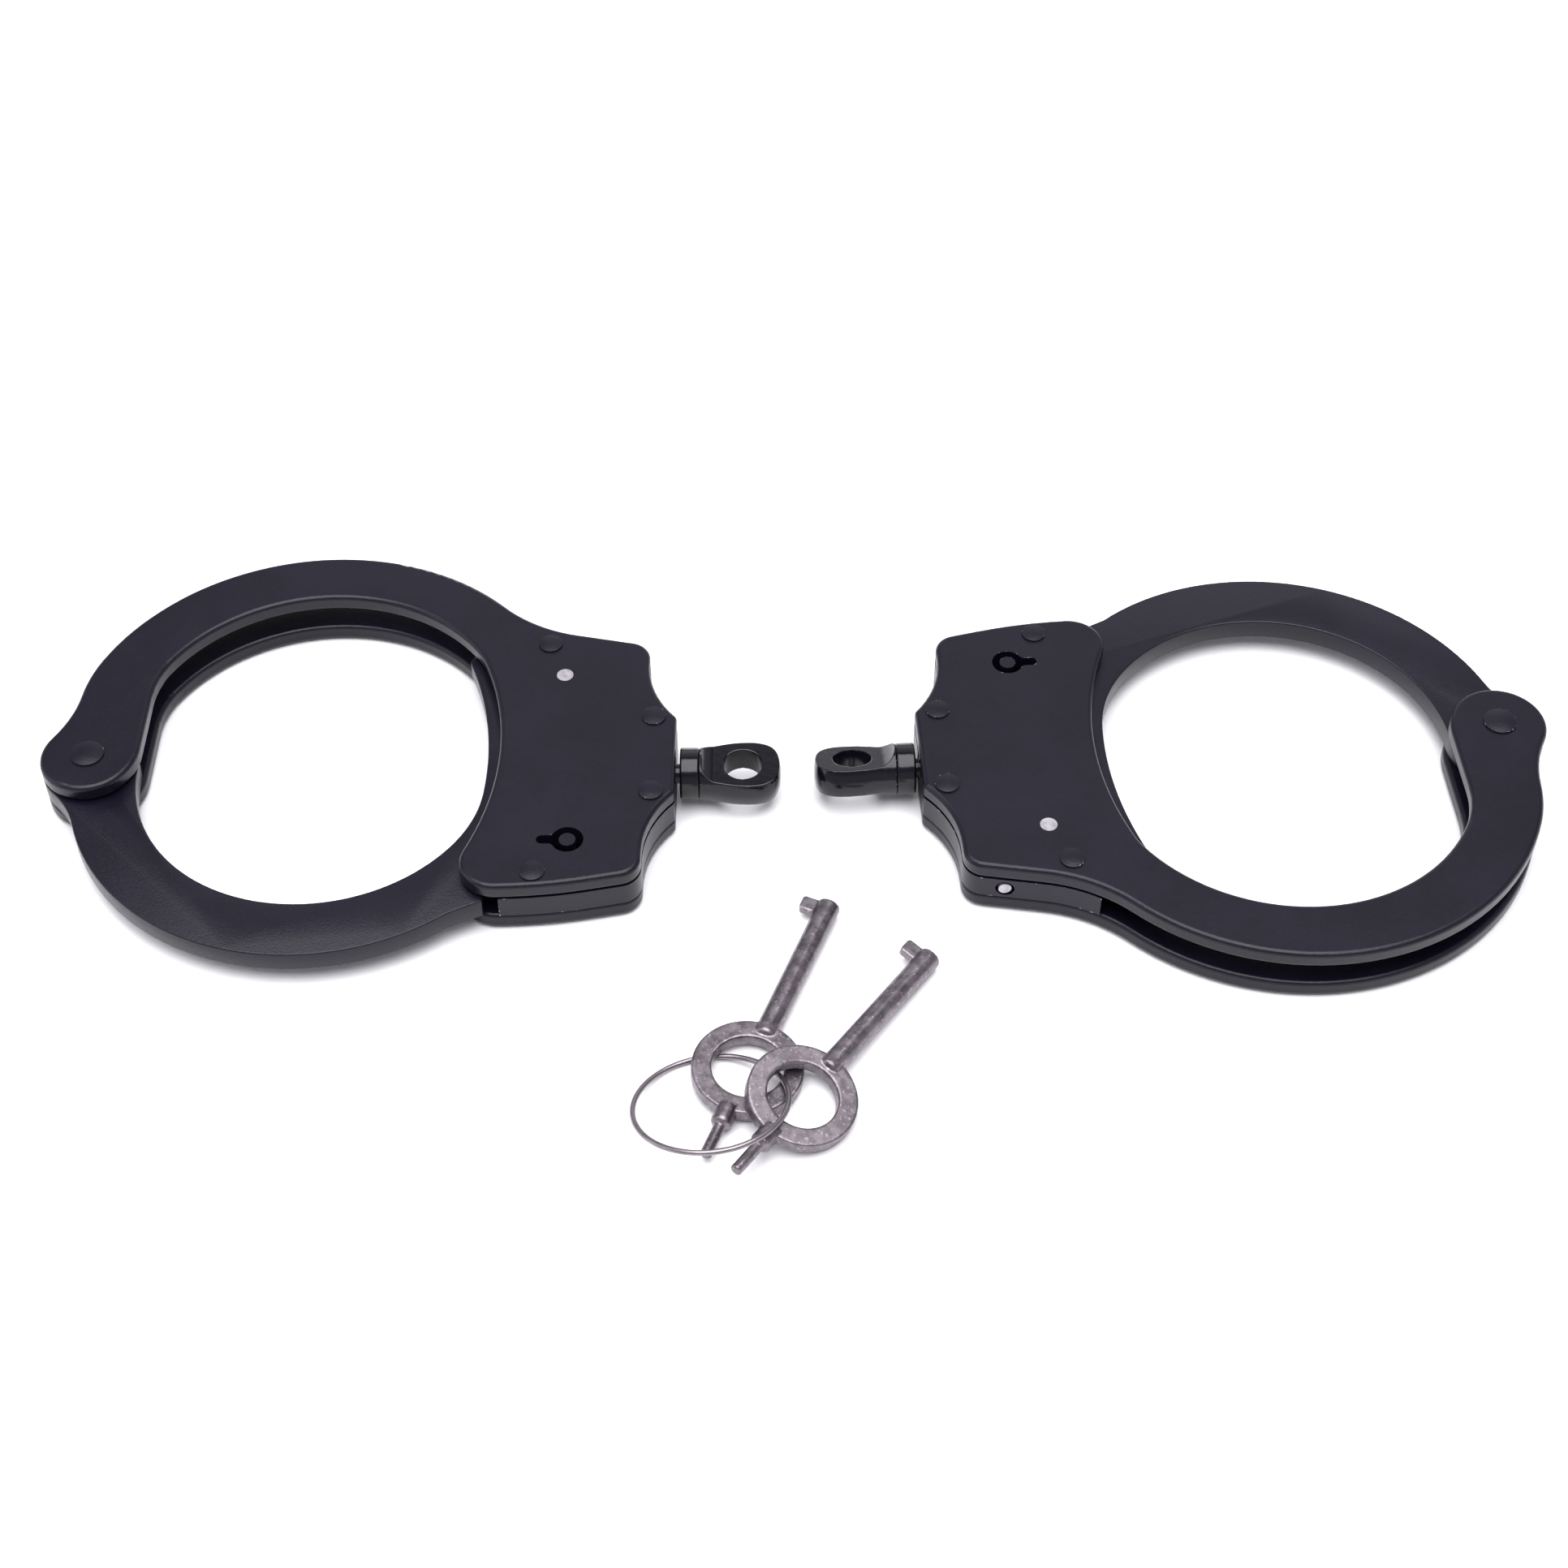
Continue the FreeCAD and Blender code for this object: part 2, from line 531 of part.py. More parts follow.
def pawl_outline():
    """Plan of the pawl: hub, toothed face, and a tail hooked round the key post."""
    post_x, post_y = KEY_POST
    tail_in = post_x + TAIL_GAP
    tail_out = tail_in + TAIL_WIDTH
    hook_y = post_y - HOOK_DROP
    room_y = post_y + BIT_REACH + BIT_ROOM
    low = tooth_deg(PAWL_FIRST_TOOTH) - MESH_BACKLASH_DEG
    steps = [(PAWL_BACK_X, PAWL_BACK_Y), (post_x + ELBOW[0], post_y + ELBOW[1]),
             (tail_out - TAIL_BEVEL, post_y + TAIL_TOP + TAIL_BEVEL),
             (tail_out, post_y + TAIL_TOP), (tail_out, hook_y), (tail_out - HOOK_BEVEL, hook_y),
             (tail_in, post_y + HOOK_RISE), (tail_in, room_y),
             (post_x + CHIN[0], room_y + CHIN[1]),
             polar(PAWL_BASE_R, low - TOOTH_PITCH_DEG - TOE_DEG)]
    for index in range(PAWL_TEETH):
        tip = low + index * TOOTH_PITCH_DEG
        steps.append(polar(TOOTH_TIP_R + MESH_CLEAR, tip - TOOTH_PITCH_DEG))
        steps.append(polar(TOOTH_ROOT_R + MESH_CLEAR, tip))
    last = low + (PAWL_TEETH - 1) * TOOTH_PITCH_DEG
    face_middle = polar(PAWL_BASE_R, (last + PAWL_FACE_TOP_DEG) / 2)
    hub_out = polar(PAWL_HUB_R, 0, PAWL_PIN)
    steps += [polar(PAWL_BASE_R, last), (face_middle, polar(PAWL_BASE_R, PAWL_FACE_TOP_DEG)),
              polar(PAWL_HUB_R, 180, PAWL_PIN), (polar(PAWL_HUB_R, 90, PAWL_PIN), hub_out)]
    return outline(hub_out, *steps)


def pawl():
    """Three-toothed pawl on its pin."""
    bottom = BLOCK_FROM + SIDE_CLEAR
    blank = plate(pawl_outline(), bottom, SLIDER_THICK)
    return blank.cut(disc(PAWL_PIN, PAWL_PIN_R + RUN_CLEAR, bottom, SLIDER_THICK))


def lock_bar_x():
    """Inner face of the lock bar."""
    return KEY_POST[0] + TAIL_GAP + TAIL_WIDTH + LOCK_BAR_GAP


def lock_bar():
    """Bar that slides beside the pawl's tail and stops it from lifting."""
    inner = lock_bar_x()
    outer = inner + LOCK_BAR_WIDTH
    head = inner - LOCK_HEAD_EXTRA
    head_y = LOCK_TOP_Y - LOCK_HEAD_LENGTH
    face = outline((inner, LOCK_NOSE_Y + LOCK_INNER_BEVEL), (inner + LOCK_INNER_BEVEL, LOCK_NOSE_Y),
                   (outer - LOCK_OUTER_BEVEL, LOCK_NOSE_Y), (outer, LOCK_NOSE_Y + LOCK_OUTER_BEVEL),
                   (outer, LOCK_TOP_Y), (head, LOCK_TOP_Y), (head, head_y), (inner, head_y))
    return plate(face, BLOCK_FROM + SIDE_CLEAR, SLIDER_THICK)


def push_pin():
    """Silver pin in the body's edge that moves the lock bar."""
    length = slope_y(PUSH_PIN_X) - LOCK_TOP_Y
    start = Base.Vector(PUSH_PIN_X, LOCK_TOP_Y, MIDDLE)
    return Part.makeCylinder(PUSH_PIN_R, length, start, Base.Vector(0, 1, 0))


def pawl_back_x(y):
    """The back of the pawl between its hub and PAWL_BACK_Y."""
    hub_x = PAWL_PIN[0] + PAWL_HUB_R
    share = (PAWL_PIN[1] - y) / (PAWL_PIN[1] - PAWL_BACK_Y)
    return hub_x + (PAWL_BACK_X - hub_x) * share


def behind_pawl(place):
    """The plan point at a distance behind the pawl's back, at a given y."""
    return (pawl_back_x(place[1]) + place[0], place[1])


def pawl_spring():
    """Leaf spring between the block and the pawl's back."""
    half = SPRING_THICK / 2
    tip_x = pawl_back_x(SPRING_TIP_Y) + SPRING_TO_PAWL
    foot_x, foot_y = behind_pawl(SPRING_FOOT)
    bend_x, bend_y = behind_pawl(SPRING_BEND)
    face = outline((tip_x, SPRING_TIP_Y),
                   ((bend_x - half, bend_y), (foot_x - half, foot_y - SPRING_FOOT_INNER)),
                   (foot_x - half, foot_y), (foot_x + half, foot_y),
                   (foot_x + half, foot_y - SPRING_FOOT_OUTER),
                   ((bend_x + half, bend_y), (tip_x + SPRING_THICK, SPRING_TIP_Y)))
    return plate(face, BLOCK_FROM + SIDE_CLEAR, SLIDER_THICK)


def room(*corners):
    """A pocket right through the centre block."""
    return plate(outline(*corners), BLOCK_FROM, GAP)


def centre_block():
    """Spacer between the cheeks with the pockets of the lock."""
    blank = plate(cheek_face(), BLOCK_FROM, GAP)
    low = (CHANNEL_LOW_X, HEEL_Y - HEEL_R)
    top = (CHANNEL_TOP_X, SLOPE_Y + CHANNEL_TOP_RISE)
    far_x = BODY_END_X + CUT_MARGIN
    keep = room((low[0], low[1] - CUT_MARGIN), low, ((CHANNEL_R, 0.0), top),
                (top[0], top[1] + CUT_MARGIN), (far_x, top[1] + CUT_MARGIN),
                (far_x, low[1] - CUT_MARGIN))
    holes = [disc(spot, CHEEK_RIVET_R, BLOCK_FROM, GAP) for spot in CHEEK_RIVETS]
    pockets = [hub_room(), arm_room(), bar_room(), *push_pin_hole(), pawl_spring(),
               disc(KEY_POST, BIT_REACH + POCKET_CLEAR, BLOCK_FROM, GAP), swivel_space()]
    return blank.common(keep).cut(pockets + holes)


def hub_room():
    """The room round the pawl's hub."""
    reach = PAWL_HUB_R + POCKET_CLEAR
    return room((CHANNEL_LOW_X, PAWL_PIN[1] - HUB_MOUTH), polar(reach, 180, PAWL_PIN),
                (polar(reach, 90, PAWL_PIN), polar(reach, 0, PAWL_PIN)),
                (pawl_back_x(HUB_ROOM_LOW_Y) + POCKET_CLEAR, HUB_ROOM_LOW_Y),
                (CHANNEL_LOW_X, HUB_ROOM_LOW_Y))


def arm_room():
    """The room that the pawl's arm and tail swing in, open towards the teeth."""
    post_x, post_y = KEY_POST
    top_y = HUB_ROOM_LOW_Y + ROOM_OVERLAP
    swing = math.radians(PAWL_LIFT_DEG) * (PAWL_PIN[1] - post_y + HOOK_DROP)
    tail_far = post_x + TAIL_GAP + TAIL_WIDTH + swing + POCKET_CLEAR
    low_y = post_y - TAIL_ROOM_DROP
    foot_x, foot_y = behind_pawl(SPRING_FOOT)
    return room((CHANNEL_LOW_X, top_y), (pawl_back_x(top_y) + POCKET_CLEAR, top_y),
                (foot_x + SPRING_ROOM[0], foot_y + SPRING_ROOM[1]),
                (foot_x + SPRING_ROOM_LOW[0], PAWL_BACK_Y + SPRING_ROOM_LOW[1]),
                (tail_far, post_y + TAIL_ROOM_TOP), (tail_far, low_y), (post_x, low_y),
                polar(BIT_REACH, ROOM_CORNER_DEG, KEY_POST), (post_x + ROOM_STEP[0], post_y + ROOM_STEP[1]),
                (CHANNEL_LOW_X, post_y + ROOM_STEP[1]))


def bar_room():
    """The channel that the lock bar slides in."""
    low_y = KEY_POST[1] + BAR_ROOM_LOW
    inner = lock_bar_x() - 2 * RUN_CLEAR
    outer = lock_bar_x() + LOCK_BAR_WIDTH + 2 * RUN_CLEAR
    head = inner - LOCK_HEAD_EXTRA
    head_low = LOCK_TOP_Y - LOCK_HEAD_LENGTH - LOCK_TRAVEL - POCKET_CLEAR
    return room((inner, low_y), (outer, low_y), (outer, LOCK_TOP_Y), (head, LOCK_TOP_Y),
                (head, head_low), (inner, head_low))


def push_pin_hole():
    """The push pin's hole and the wider recess at its mouth."""
    way = Base.Vector(0, 1, 0)
    hole_start = Base.Vector(PUSH_PIN_X, LOCK_TOP_Y - PUSH_PIN_HOLE_BACK, MIDDLE)
    recess_start = Base.Vector(PUSH_PIN_X, slope_y(PUSH_PIN_X) - PUSH_PIN_RECESS_DEPTH, MIDDLE)
    return [Part.makeCylinder(PUSH_PIN_R + RUN_CLEAR, CUT_MARGIN, hole_start, way),
            Part.makeCylinder(PUSH_PIN_RECESS_R, CUT_MARGIN, recess_start, way)]


# ---- rivets, pins and post ---------------------------------------------------------------
def dome_middle(radius, height):
    """The point half way up a low dome, as its distance from the axis and its height."""
    sphere_r = (radius ** 2 + height ** 2) / (2 * height)
    half = math.asin(radius / sphere_r) / 2
    return (sphere_r * math.sin(half), sphere_r * math.cos(half) - (sphere_r - height))


def rivet(spot, shank_r, head_r, top_height, bottom_height):
    """A through rivet with a low domed head on each face, as one turned solid."""
    top_x, top_z = dome_middle(head_r, top_height - HEAD_RIM)
    low_x, low_z = dome_middle(head_r, bottom_height - HEAD_RIM)
    top_rim = TOP_FACE + HEAD_RIM
    low_rim = BOTTOM_FROM - HEAD_RIM
    profile = outline((0, BOTTOM_FROM - bottom_height),
                      ((low_x, low_rim - low_z), (head_r, low_rim)), (head_r, BOTTOM_FROM),
                      (shank_r, BOTTOM_FROM), (shank_r, TOP_FACE), (head_r, TOP_FACE),
                      (head_r, top_rim), ((top_x, top_rim + top_z), (0, TOP_FACE + top_height)))
    solid = turned(stood_up(profile))
    solid.translate(vec(spot))
    return solid


def cheek_rivets():
    """The four rivets that hold the body together."""
    one_each = [rivet(spot, CHEEK_RIVET_R, CHEEK_HEAD_R, CHEEK_HEAD_TOP, HEAD_HEIGHT)
                for spot in CHEEK_RIVETS]
    return Part.makeCompound(one_each)


def strand_rivet():
    """The rivet that the single strand turns on."""
    return rivet((0, 0), PIVOT_RIVET_R, PIVOT_HEAD_R, PIVOT_HEAD_HEIGHT, HEAD_HEIGHT)


def flush_pin(spot, radius):
    """A plain pin whose ends are level with the cheeks."""
    return disc(spot, radius, BOTTOM_FROM, TOP_FACE - BOTTOM_FROM)


# ---- swivel ------------------------------------------------------------------------------
def swivel_collar():
    """Ring on the swivel's neck, between the body and the eye."""
    ring = bar_x(COLLAR_FROM_X, COLLAR_FROM_X + COLLAR_LENGTH, COLLAR_R)
    return ring.cut(bar_x(COLLAR_FROM_X, COLLAR_FROM_X + COLLAR_LENGTH, NECK_R))


def eye_forging():
    """The eye before its flats and hole, turned about the swivel's axis."""
    full_x = EYE_FROM_X + EYE_FULL_REACH
    nearly_full = EYE_FULL_R - EYE_FLANK_RISE
    flank = [(EYE_FROM_X, COLLAR_R),
             (EYE_FROM_X + EYE_FLANK_LENGTH, COLLAR_R + EYE_FLANK_RISE),
             (full_x - EYE_FLANK_BEFORE, nearly_full), (full_x, EYE_FULL_R)]
    nose = [(EYE_TIP_X - back, EYE_FULL_R - inward) for back, inward in EYE_NOSE]
    points = [vec(point) for point in (*flank, *nose, (EYE_TIP_X, 0))]
    curve = Part.BSplineCurve()
    curve.interpolate(points)
    foot = vec((EYE_FROM_X, 0))
    rim = Part.Wire([Part.LineSegment(foot, points[0]).toShape(), curve.toShape(),
                     Part.LineSegment(points[-1], foot).toShape()])
    forging = turned(Part.Face(rim), Base.Vector(1, 0, 0))
    forging.translate(Base.Vector(0, 0, MIDDLE))
    return forging


def flat_cutter(up):
    """What one flat of the eye takes away, above (1) or below (-1), with its round run-out."""
    half = EYE_THICK / 2
    flat_x = EYE_FROM_X + FLAT_REACH
    far_x = EYE_TIP_X + CUT_MARGIN
    bend_x = flat_x - FLAT_RUNOUT_R * FLAT_RUNOUT_BEND[0]
    bend_z = half + FLAT_RUNOUT_R * FLAT_RUNOUT_BEND[1]
    back_x = flat_x - FLAT_RUNOUT_R
    profile = outline((far_x, up * half), (flat_x, up * half),
                      ((bend_x, up * bend_z), (back_x, up * (half + FLAT_RUNOUT_R))),
                      (back_x, up * CUT_MARGIN), (far_x, up * CUT_MARGIN))
    cutter = stood_up(profile).extrude(Base.Vector(0, 2 * CUT_MARGIN, 0))
    cutter.translate(Base.Vector(0, -CUT_MARGIN, MIDDLE))
    return cutter


def swivel_eye():
    """Forged eye with its neck, shank and captive head, in one piece."""
    hole = disc((EYE_HOLE_X, 0), EYE_HOLE_R, MIDDLE - CUT_MARGIN, 2 * CUT_MARGIN)
    eye = eye_forging().cut([flat_cutter(1), flat_cutter(-1), hole])
    narrow_x = BODY_END_X - SHANK_SETBACK
    neck = bar_x(narrow_x, EYE_FROM_X, NECK_R)
    shank = bar_x(HEAD_FROM_X + HEAD_THICK, narrow_x, SHANK_R)
    head = bar_x(HEAD_FROM_X, HEAD_FROM_X + HEAD_THICK, HEAD_R)
    return eye.fuse([neck, shank, head]).removeSplitter()


# ---- keys and ring -----------------------------------------------------------------------
def edges_at_x(solid, x):
    """The edges of a solid that lie in the plane of a given X."""
    return [edge for edge in solid.Edges
            if abs(edge.BoundBox.XMin - x) < NEAR and abs(edge.BoundBox.XMax - x) < NEAR]


def key_bow():
    """The key's round grip."""
    half = BOW_THICK / 2
    bow = disc((0, 0), BOW_OUT_R, -half, BOW_THICK)
    bow = bow.cut(disc((0, 0), BOW_HOLE_R, -half, BOW_THICK))
    return round_rims(bow, BOW_ROUND, (-half, half))


def key_bit(tip_x):
    """The bit at the barrel's open end, with a rounded far edge."""
    bit = Part.makeBox(BIT_LENGTH, BIT_REACH, BIT_THICK,
                       Base.Vector(tip_x - BIT_LENGTH, 0, -BIT_THICK / 2))
    far = [edge for edge in bit.Edges
           if abs(edge.BoundBox.YMin - BIT_REACH) < NEAR and edge.BoundBox.ZLength > BIT_THICK / 2]
    return bit.makeFillet(BIT_ROUND, far)


def key():
    """One key in its own frame: bow centre at the origin, barrel along +X, bow level."""
    way = Base.Vector(1, 0, 0)
    tip_x = BOW_OUT_R + BARREL_LENGTH
    foot = Base.Vector(BOW_OUT_R - BARREL_SINK, 0, 0)
    shank_from = foot + way * BARREL_FOOT_LENGTH
    barrel = Part.makeCone(BARREL_ROOT_R, BARREL_TIP_R, tip_x - shank_from.x, shank_from, way)
    flare = Part.makeCone(BARREL_ROOT_R + BARREL_FOOT_EXTRA, BARREL_ROOT_R, BARREL_FOOT_LENGTH,
                          foot, way)
    flare = flare.makeFillet(BARREL_FOOT_ROUND, edges_at_x(flare, foot.x))
    boss_x = -BOW_OUT_R - BOSS_LENGTH
    boss = Part.makeCylinder(BOSS_R, BOSS_LENGTH + BOW_SINK, Base.Vector(boss_x, 0, 0), way)
    boss = boss.makeFillet(BOSS_ROUND, edges_at_x(boss, boss_x))
    end_x = boss_x - KEY_PIN_LENGTH
    pin = Part.makeCylinder(KEY_PIN_R, KEY_PIN_LENGTH + KEY_PIN_SINK, Base.Vector(end_x, 0, 0), way)
    pin = pin.makeFillet(KEY_PIN_ROUND, edges_at_x(pin, end_x))
    solid = key_bow().fuse([barrel, flare, key_bit(tip_x), boss, pin]).removeSplitter()
    bore = Part.makeCylinder(KEY_POST_R + BARREL_BORE_CLEAR, BARREL_BORE_DEPTH,
                             Base.Vector(tip_x - BARREL_BORE_DEPTH, 0, 0), way)
    return solid.cut(bore)


def key_ring():
    """The wire ring that both bows hang on."""
    centre = vec(RING[:2], BARREL_TIP_R + RING[2])
    return Part.makeTorus(RING_R, RING_WIRE_R, centre, Base.Vector(*RING_NORMAL))


# ---- putting it together -----------------------------------------------------------------
def about_swivel_axis(shape, degrees):
    """Turn a piece of the swivel about its own axis."""
    turned_shape = shape.copy()
    turned_shape.rotate(Base.Vector(0, 0, MIDDLE), Base.Vector(1, 0, 0), degrees)
    return turned_shape


def cuff(side):
    """Every piece of one cuff, in the cuff's own frame."""
    turn = EYE_TURN_DEG[side]
    return {
        "bottom_cheek": cheek(BOTTOM_FROM, False),
        "top_cheek": cheek(TOP_FROM, True),
        "centre_block": centre_block(),
        "single_strand": single_strand(),
        "strand_rivet": strand_rivet(),
        "cheek_rivets": cheek_rivets(),
        "pawl": pawl(),
        "pawl_pin": flush_pin(PAWL_PIN, PAWL_PIN_R),
        "pawl_spring": pawl_spring(),
        "lock_bar": lock_bar(),
        "push_pin": push_pin(),
        "key_post": flush_pin(KEY_POST, KEY_POST_R),
        "swivel_collar": about_swivel_axis(swivel_collar(), turn),
        "swivel_eye": about_swivel_axis(swivel_eye(), turn),
    }


def pivot_place(side):
    """Where a cuff's pivot axis stands, and the cuff's heading, from its swivel's tip."""
    tip_x, tip_y, heading = CUFFS[side]
    return (*polar(-EYE_TIP_X, heading, (tip_x, tip_y)), heading)


def key_place(name):
    """A key's place and turns as laid() takes them."""
    x, y, rise, heading, roll, pitch = KEYS[name]
    return (x, y, BARREL_TIP_R + rise, heading, roll, pitch)


def laid(shape, x, y, z, heading, roll=0.0, pitch=0.0):
    """A piece turned by roll, pitch and heading, then put in its place."""
    turn = Base.Rotation(heading, pitch, roll)
    shape.Placement = Base.Placement(Base.Vector(x, y, z), turn).multiply(shape.Placement)
    return shape


def build():
    """All nodes in the set's frame, whose origin is under the middle of the set."""
    nodes = {}
    for side in CUFFS:
        x, y, heading = pivot_place(side)
        for name, shape in cuff(side).items():
            nodes[f"{side}_{name}"] = laid(shape, x, y, 0.0, heading)
    for name in KEYS:
        nodes[f"{name}_key"] = laid(key(), *key_place(name))
    nodes["key_ring"] = key_ring()
    box = Part.makeCompound(list(nodes.values())).optimalBoundingBox()
    shift = Base.Vector(-box.Center.x, -box.Center.y, 0.0)
    for shape in nodes.values():
        shape.translate(shift)
    return nodes, shift


def main():
    """Write one STEP file per node and print what was made."""
    os.makedirs("parts", exist_ok=True)
    nodes, shift = build()
    for name, shape in nodes.items():
        shape.exportStep(f"parts/{name}.step")
        print(f"{name}: {len(shape.Solids)} solids, {shape.Volume:.1f} mm3, valid {shape.isValid()}")
    box = Part.makeCompound(list(nodes.values())).optimalBoundingBox()
    print(f"box {box.XLength:.3f} {box.YLength:.3f} {box.ZLength:.3f} from z {box.ZMin:.4f}")
    print(f"shift {shift.x:.6f} {shift.y:.6f}")


main()
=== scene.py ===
"""A pair of black handcuffs with two keys on a wire ring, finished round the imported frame."""
import json
import math

import bmesh
import bpy
from bpy.props import FloatProperty, FloatVectorProperty, PointerProperty
from mathutils import Matrix, Vector


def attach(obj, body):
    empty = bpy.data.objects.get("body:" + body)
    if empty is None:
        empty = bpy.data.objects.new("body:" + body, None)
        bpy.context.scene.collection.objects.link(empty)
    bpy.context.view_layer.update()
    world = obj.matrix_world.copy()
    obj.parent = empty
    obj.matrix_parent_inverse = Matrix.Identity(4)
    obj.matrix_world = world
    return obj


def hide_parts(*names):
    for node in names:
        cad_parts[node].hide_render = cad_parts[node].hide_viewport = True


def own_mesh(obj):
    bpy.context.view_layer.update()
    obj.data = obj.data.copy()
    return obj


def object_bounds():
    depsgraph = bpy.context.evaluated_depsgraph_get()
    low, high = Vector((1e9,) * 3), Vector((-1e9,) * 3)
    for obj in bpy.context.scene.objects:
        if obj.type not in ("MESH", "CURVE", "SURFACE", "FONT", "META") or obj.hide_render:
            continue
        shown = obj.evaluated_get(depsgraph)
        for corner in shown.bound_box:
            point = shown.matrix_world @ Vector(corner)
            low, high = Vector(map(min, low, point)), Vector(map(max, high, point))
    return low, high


bl_info = {
    "name": "Handcuffs and Keys",
    "version": (1, 0, 0),
    "blender": (4, 5, 0),
    "location": "View3D > Sidebar > Handcuffs",
    "description": "Finishes and studio for a pair of handcuffs with two keys on a wire ring",
    "category": "Object",
}

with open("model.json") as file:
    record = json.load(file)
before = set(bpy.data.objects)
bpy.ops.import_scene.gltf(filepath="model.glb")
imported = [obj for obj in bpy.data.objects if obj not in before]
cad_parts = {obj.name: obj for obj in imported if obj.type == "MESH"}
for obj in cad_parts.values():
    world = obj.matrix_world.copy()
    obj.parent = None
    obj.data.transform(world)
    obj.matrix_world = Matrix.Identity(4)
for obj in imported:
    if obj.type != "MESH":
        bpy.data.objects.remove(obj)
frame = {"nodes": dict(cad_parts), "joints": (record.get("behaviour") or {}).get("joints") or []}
CAD_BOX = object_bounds()

SIDES = ("left", "right")
MM = 0.001
WELD_DISTANCE = 0.002 * MM
FLAT_ANGLE = math.radians(0.2)      # facets this level with each other are one face
SHARP_ANGLE = math.radians(32.0)    # an edge sharper than this is a real edge


# ---- sizes and colours that a user would change ------------------------------------------
class CuffSettings(bpy.types.PropertyGroup):
    """The satin black finish and the softened edges of the cuffs."""
    black: FloatVectorProperty(
        name="Black", description="Colour of the satin finish", subtype="COLOR",
        size=3, min=0.0, max=1.0, default=(0.0046, 0.0036, 0.0100))
    roughness: FloatProperty(
        name="Roughness", description="Mean roughness of the satin finish",
        min=0.0, max=1.0, default=0.31, subtype="FACTOR")
    grain: FloatProperty(
        name="Grain", description="Width of one bump of the orange-peel grain",
        default=0.28 * MM, min=0.05 * MM, max=2 * MM, unit="LENGTH", precision=5)
    grain_depth: FloatProperty(
        name="Grain Depth", description="Height of the orange-peel grain",
        default=0.026 * MM, min=0.0, max=0.1 * MM, unit="LENGTH", precision=6)
    chip_share: FloatProperty(
        name="Chips", description="Share of the edges where the finish is chipped",
        min=0.0, max=1.0, default=0.10, subtype="FACTOR")
    strand_edge: FloatProperty(
        name="Strand Edge", description="Width of the single strand's softened edges",
        default=0.24 * MM, min=0.01 * MM, max=0.5 * MM, unit="LENGTH", precision=5)


class SwivelSettings(bpy.types.PropertyGroup):
    """The glossier black finish of the forged swivels."""
    black: FloatVectorProperty(
        name="Black", description="Colour of the semi-gloss finish", subtype="COLOR",
        size=3, min=0.0, max=1.0, default=(0.0025, 0.0020, 0.0050))
    roughness: FloatProperty(
        name="Roughness", description="Roughness of the semi-gloss finish",
        min=0.0, max=1.0, default=0.15, subtype="FACTOR")
    forging_step: FloatProperty(
        name="Forging Step", description="Detail size of the eye's rounded skin",
        default=0.10 * MM, min=0.05 * MM, max=1 * MM, unit="LENGTH", precision=5)
    collar_edge: FloatProperty(
        name="Collar Edge", description="Radius of the collar's rounded edges",
        default=0.35 * MM, min=0.01 * MM, max=1 * MM, unit="LENGTH", precision=5)


class SteelSettings(bpy.types.PropertyGroup):
    """Bare steel pins and lock parts."""
    colour: FloatVectorProperty(
        name="Steel", description="Colour of the bare steel", subtype="COLOR",
        size=3, min=0.0, max=1.0, default=(0.44, 0.42, 0.455))
    roughness: FloatProperty(
        name="Roughness", description="Mean roughness of the bare steel",
        min=0.0, max=1.0, default=0.46, subtype="FACTOR")
    spring_edge: FloatProperty(
        name="Spring Edge", description="Width of the leaf springs' softened edges",
        default=0.05 * MM, min=0.01 * MM, max=0.2 * MM, unit="LENGTH", precision=5)
    spring_keep: FloatProperty(
        name="Spring Fold", description="Share of a leaf spring's depth that is left at full lift",
        min=0.1, max=1.0, default=0.72, subtype="FACTOR")


class KeySettings(bpy.types.PropertyGroup):
    """Cast gunmetal keys and their wire ring."""
    dark: FloatVectorProperty(
        name="Gunmetal", description="Colour of the keys where the finish is whole",
        subtype="COLOR", size=3, min=0.0, max=1.0, default=(0.168, 0.147, 0.164))
    worn: FloatVectorProperty(
        name="Worn Metal", description="Colour of the speckles and rubbed edges",
        subtype="COLOR", size=3, min=0.0, max=1.0, default=(0.50, 0.46, 0.48))
    speckle: FloatProperty(
        name="Speckle", description="Width of one speckle",
        default=0.5 * MM, min=0.05 * MM, max=5 * MM, unit="LENGTH", precision=5)
    casting_step: FloatProperty(
        name="Casting Step", description="Detail size of the keys' rounded skin",
        default=0.12 * MM, min=0.05 * MM, max=1 * MM, unit="LENGTH", precision=5)
    wire: FloatVectorProperty(
        name="Wire", description="Colour of the ring's wire", subtype="COLOR",
        size=3, min=0.0, max=1.0, default=(0.24, 0.215, 0.23))


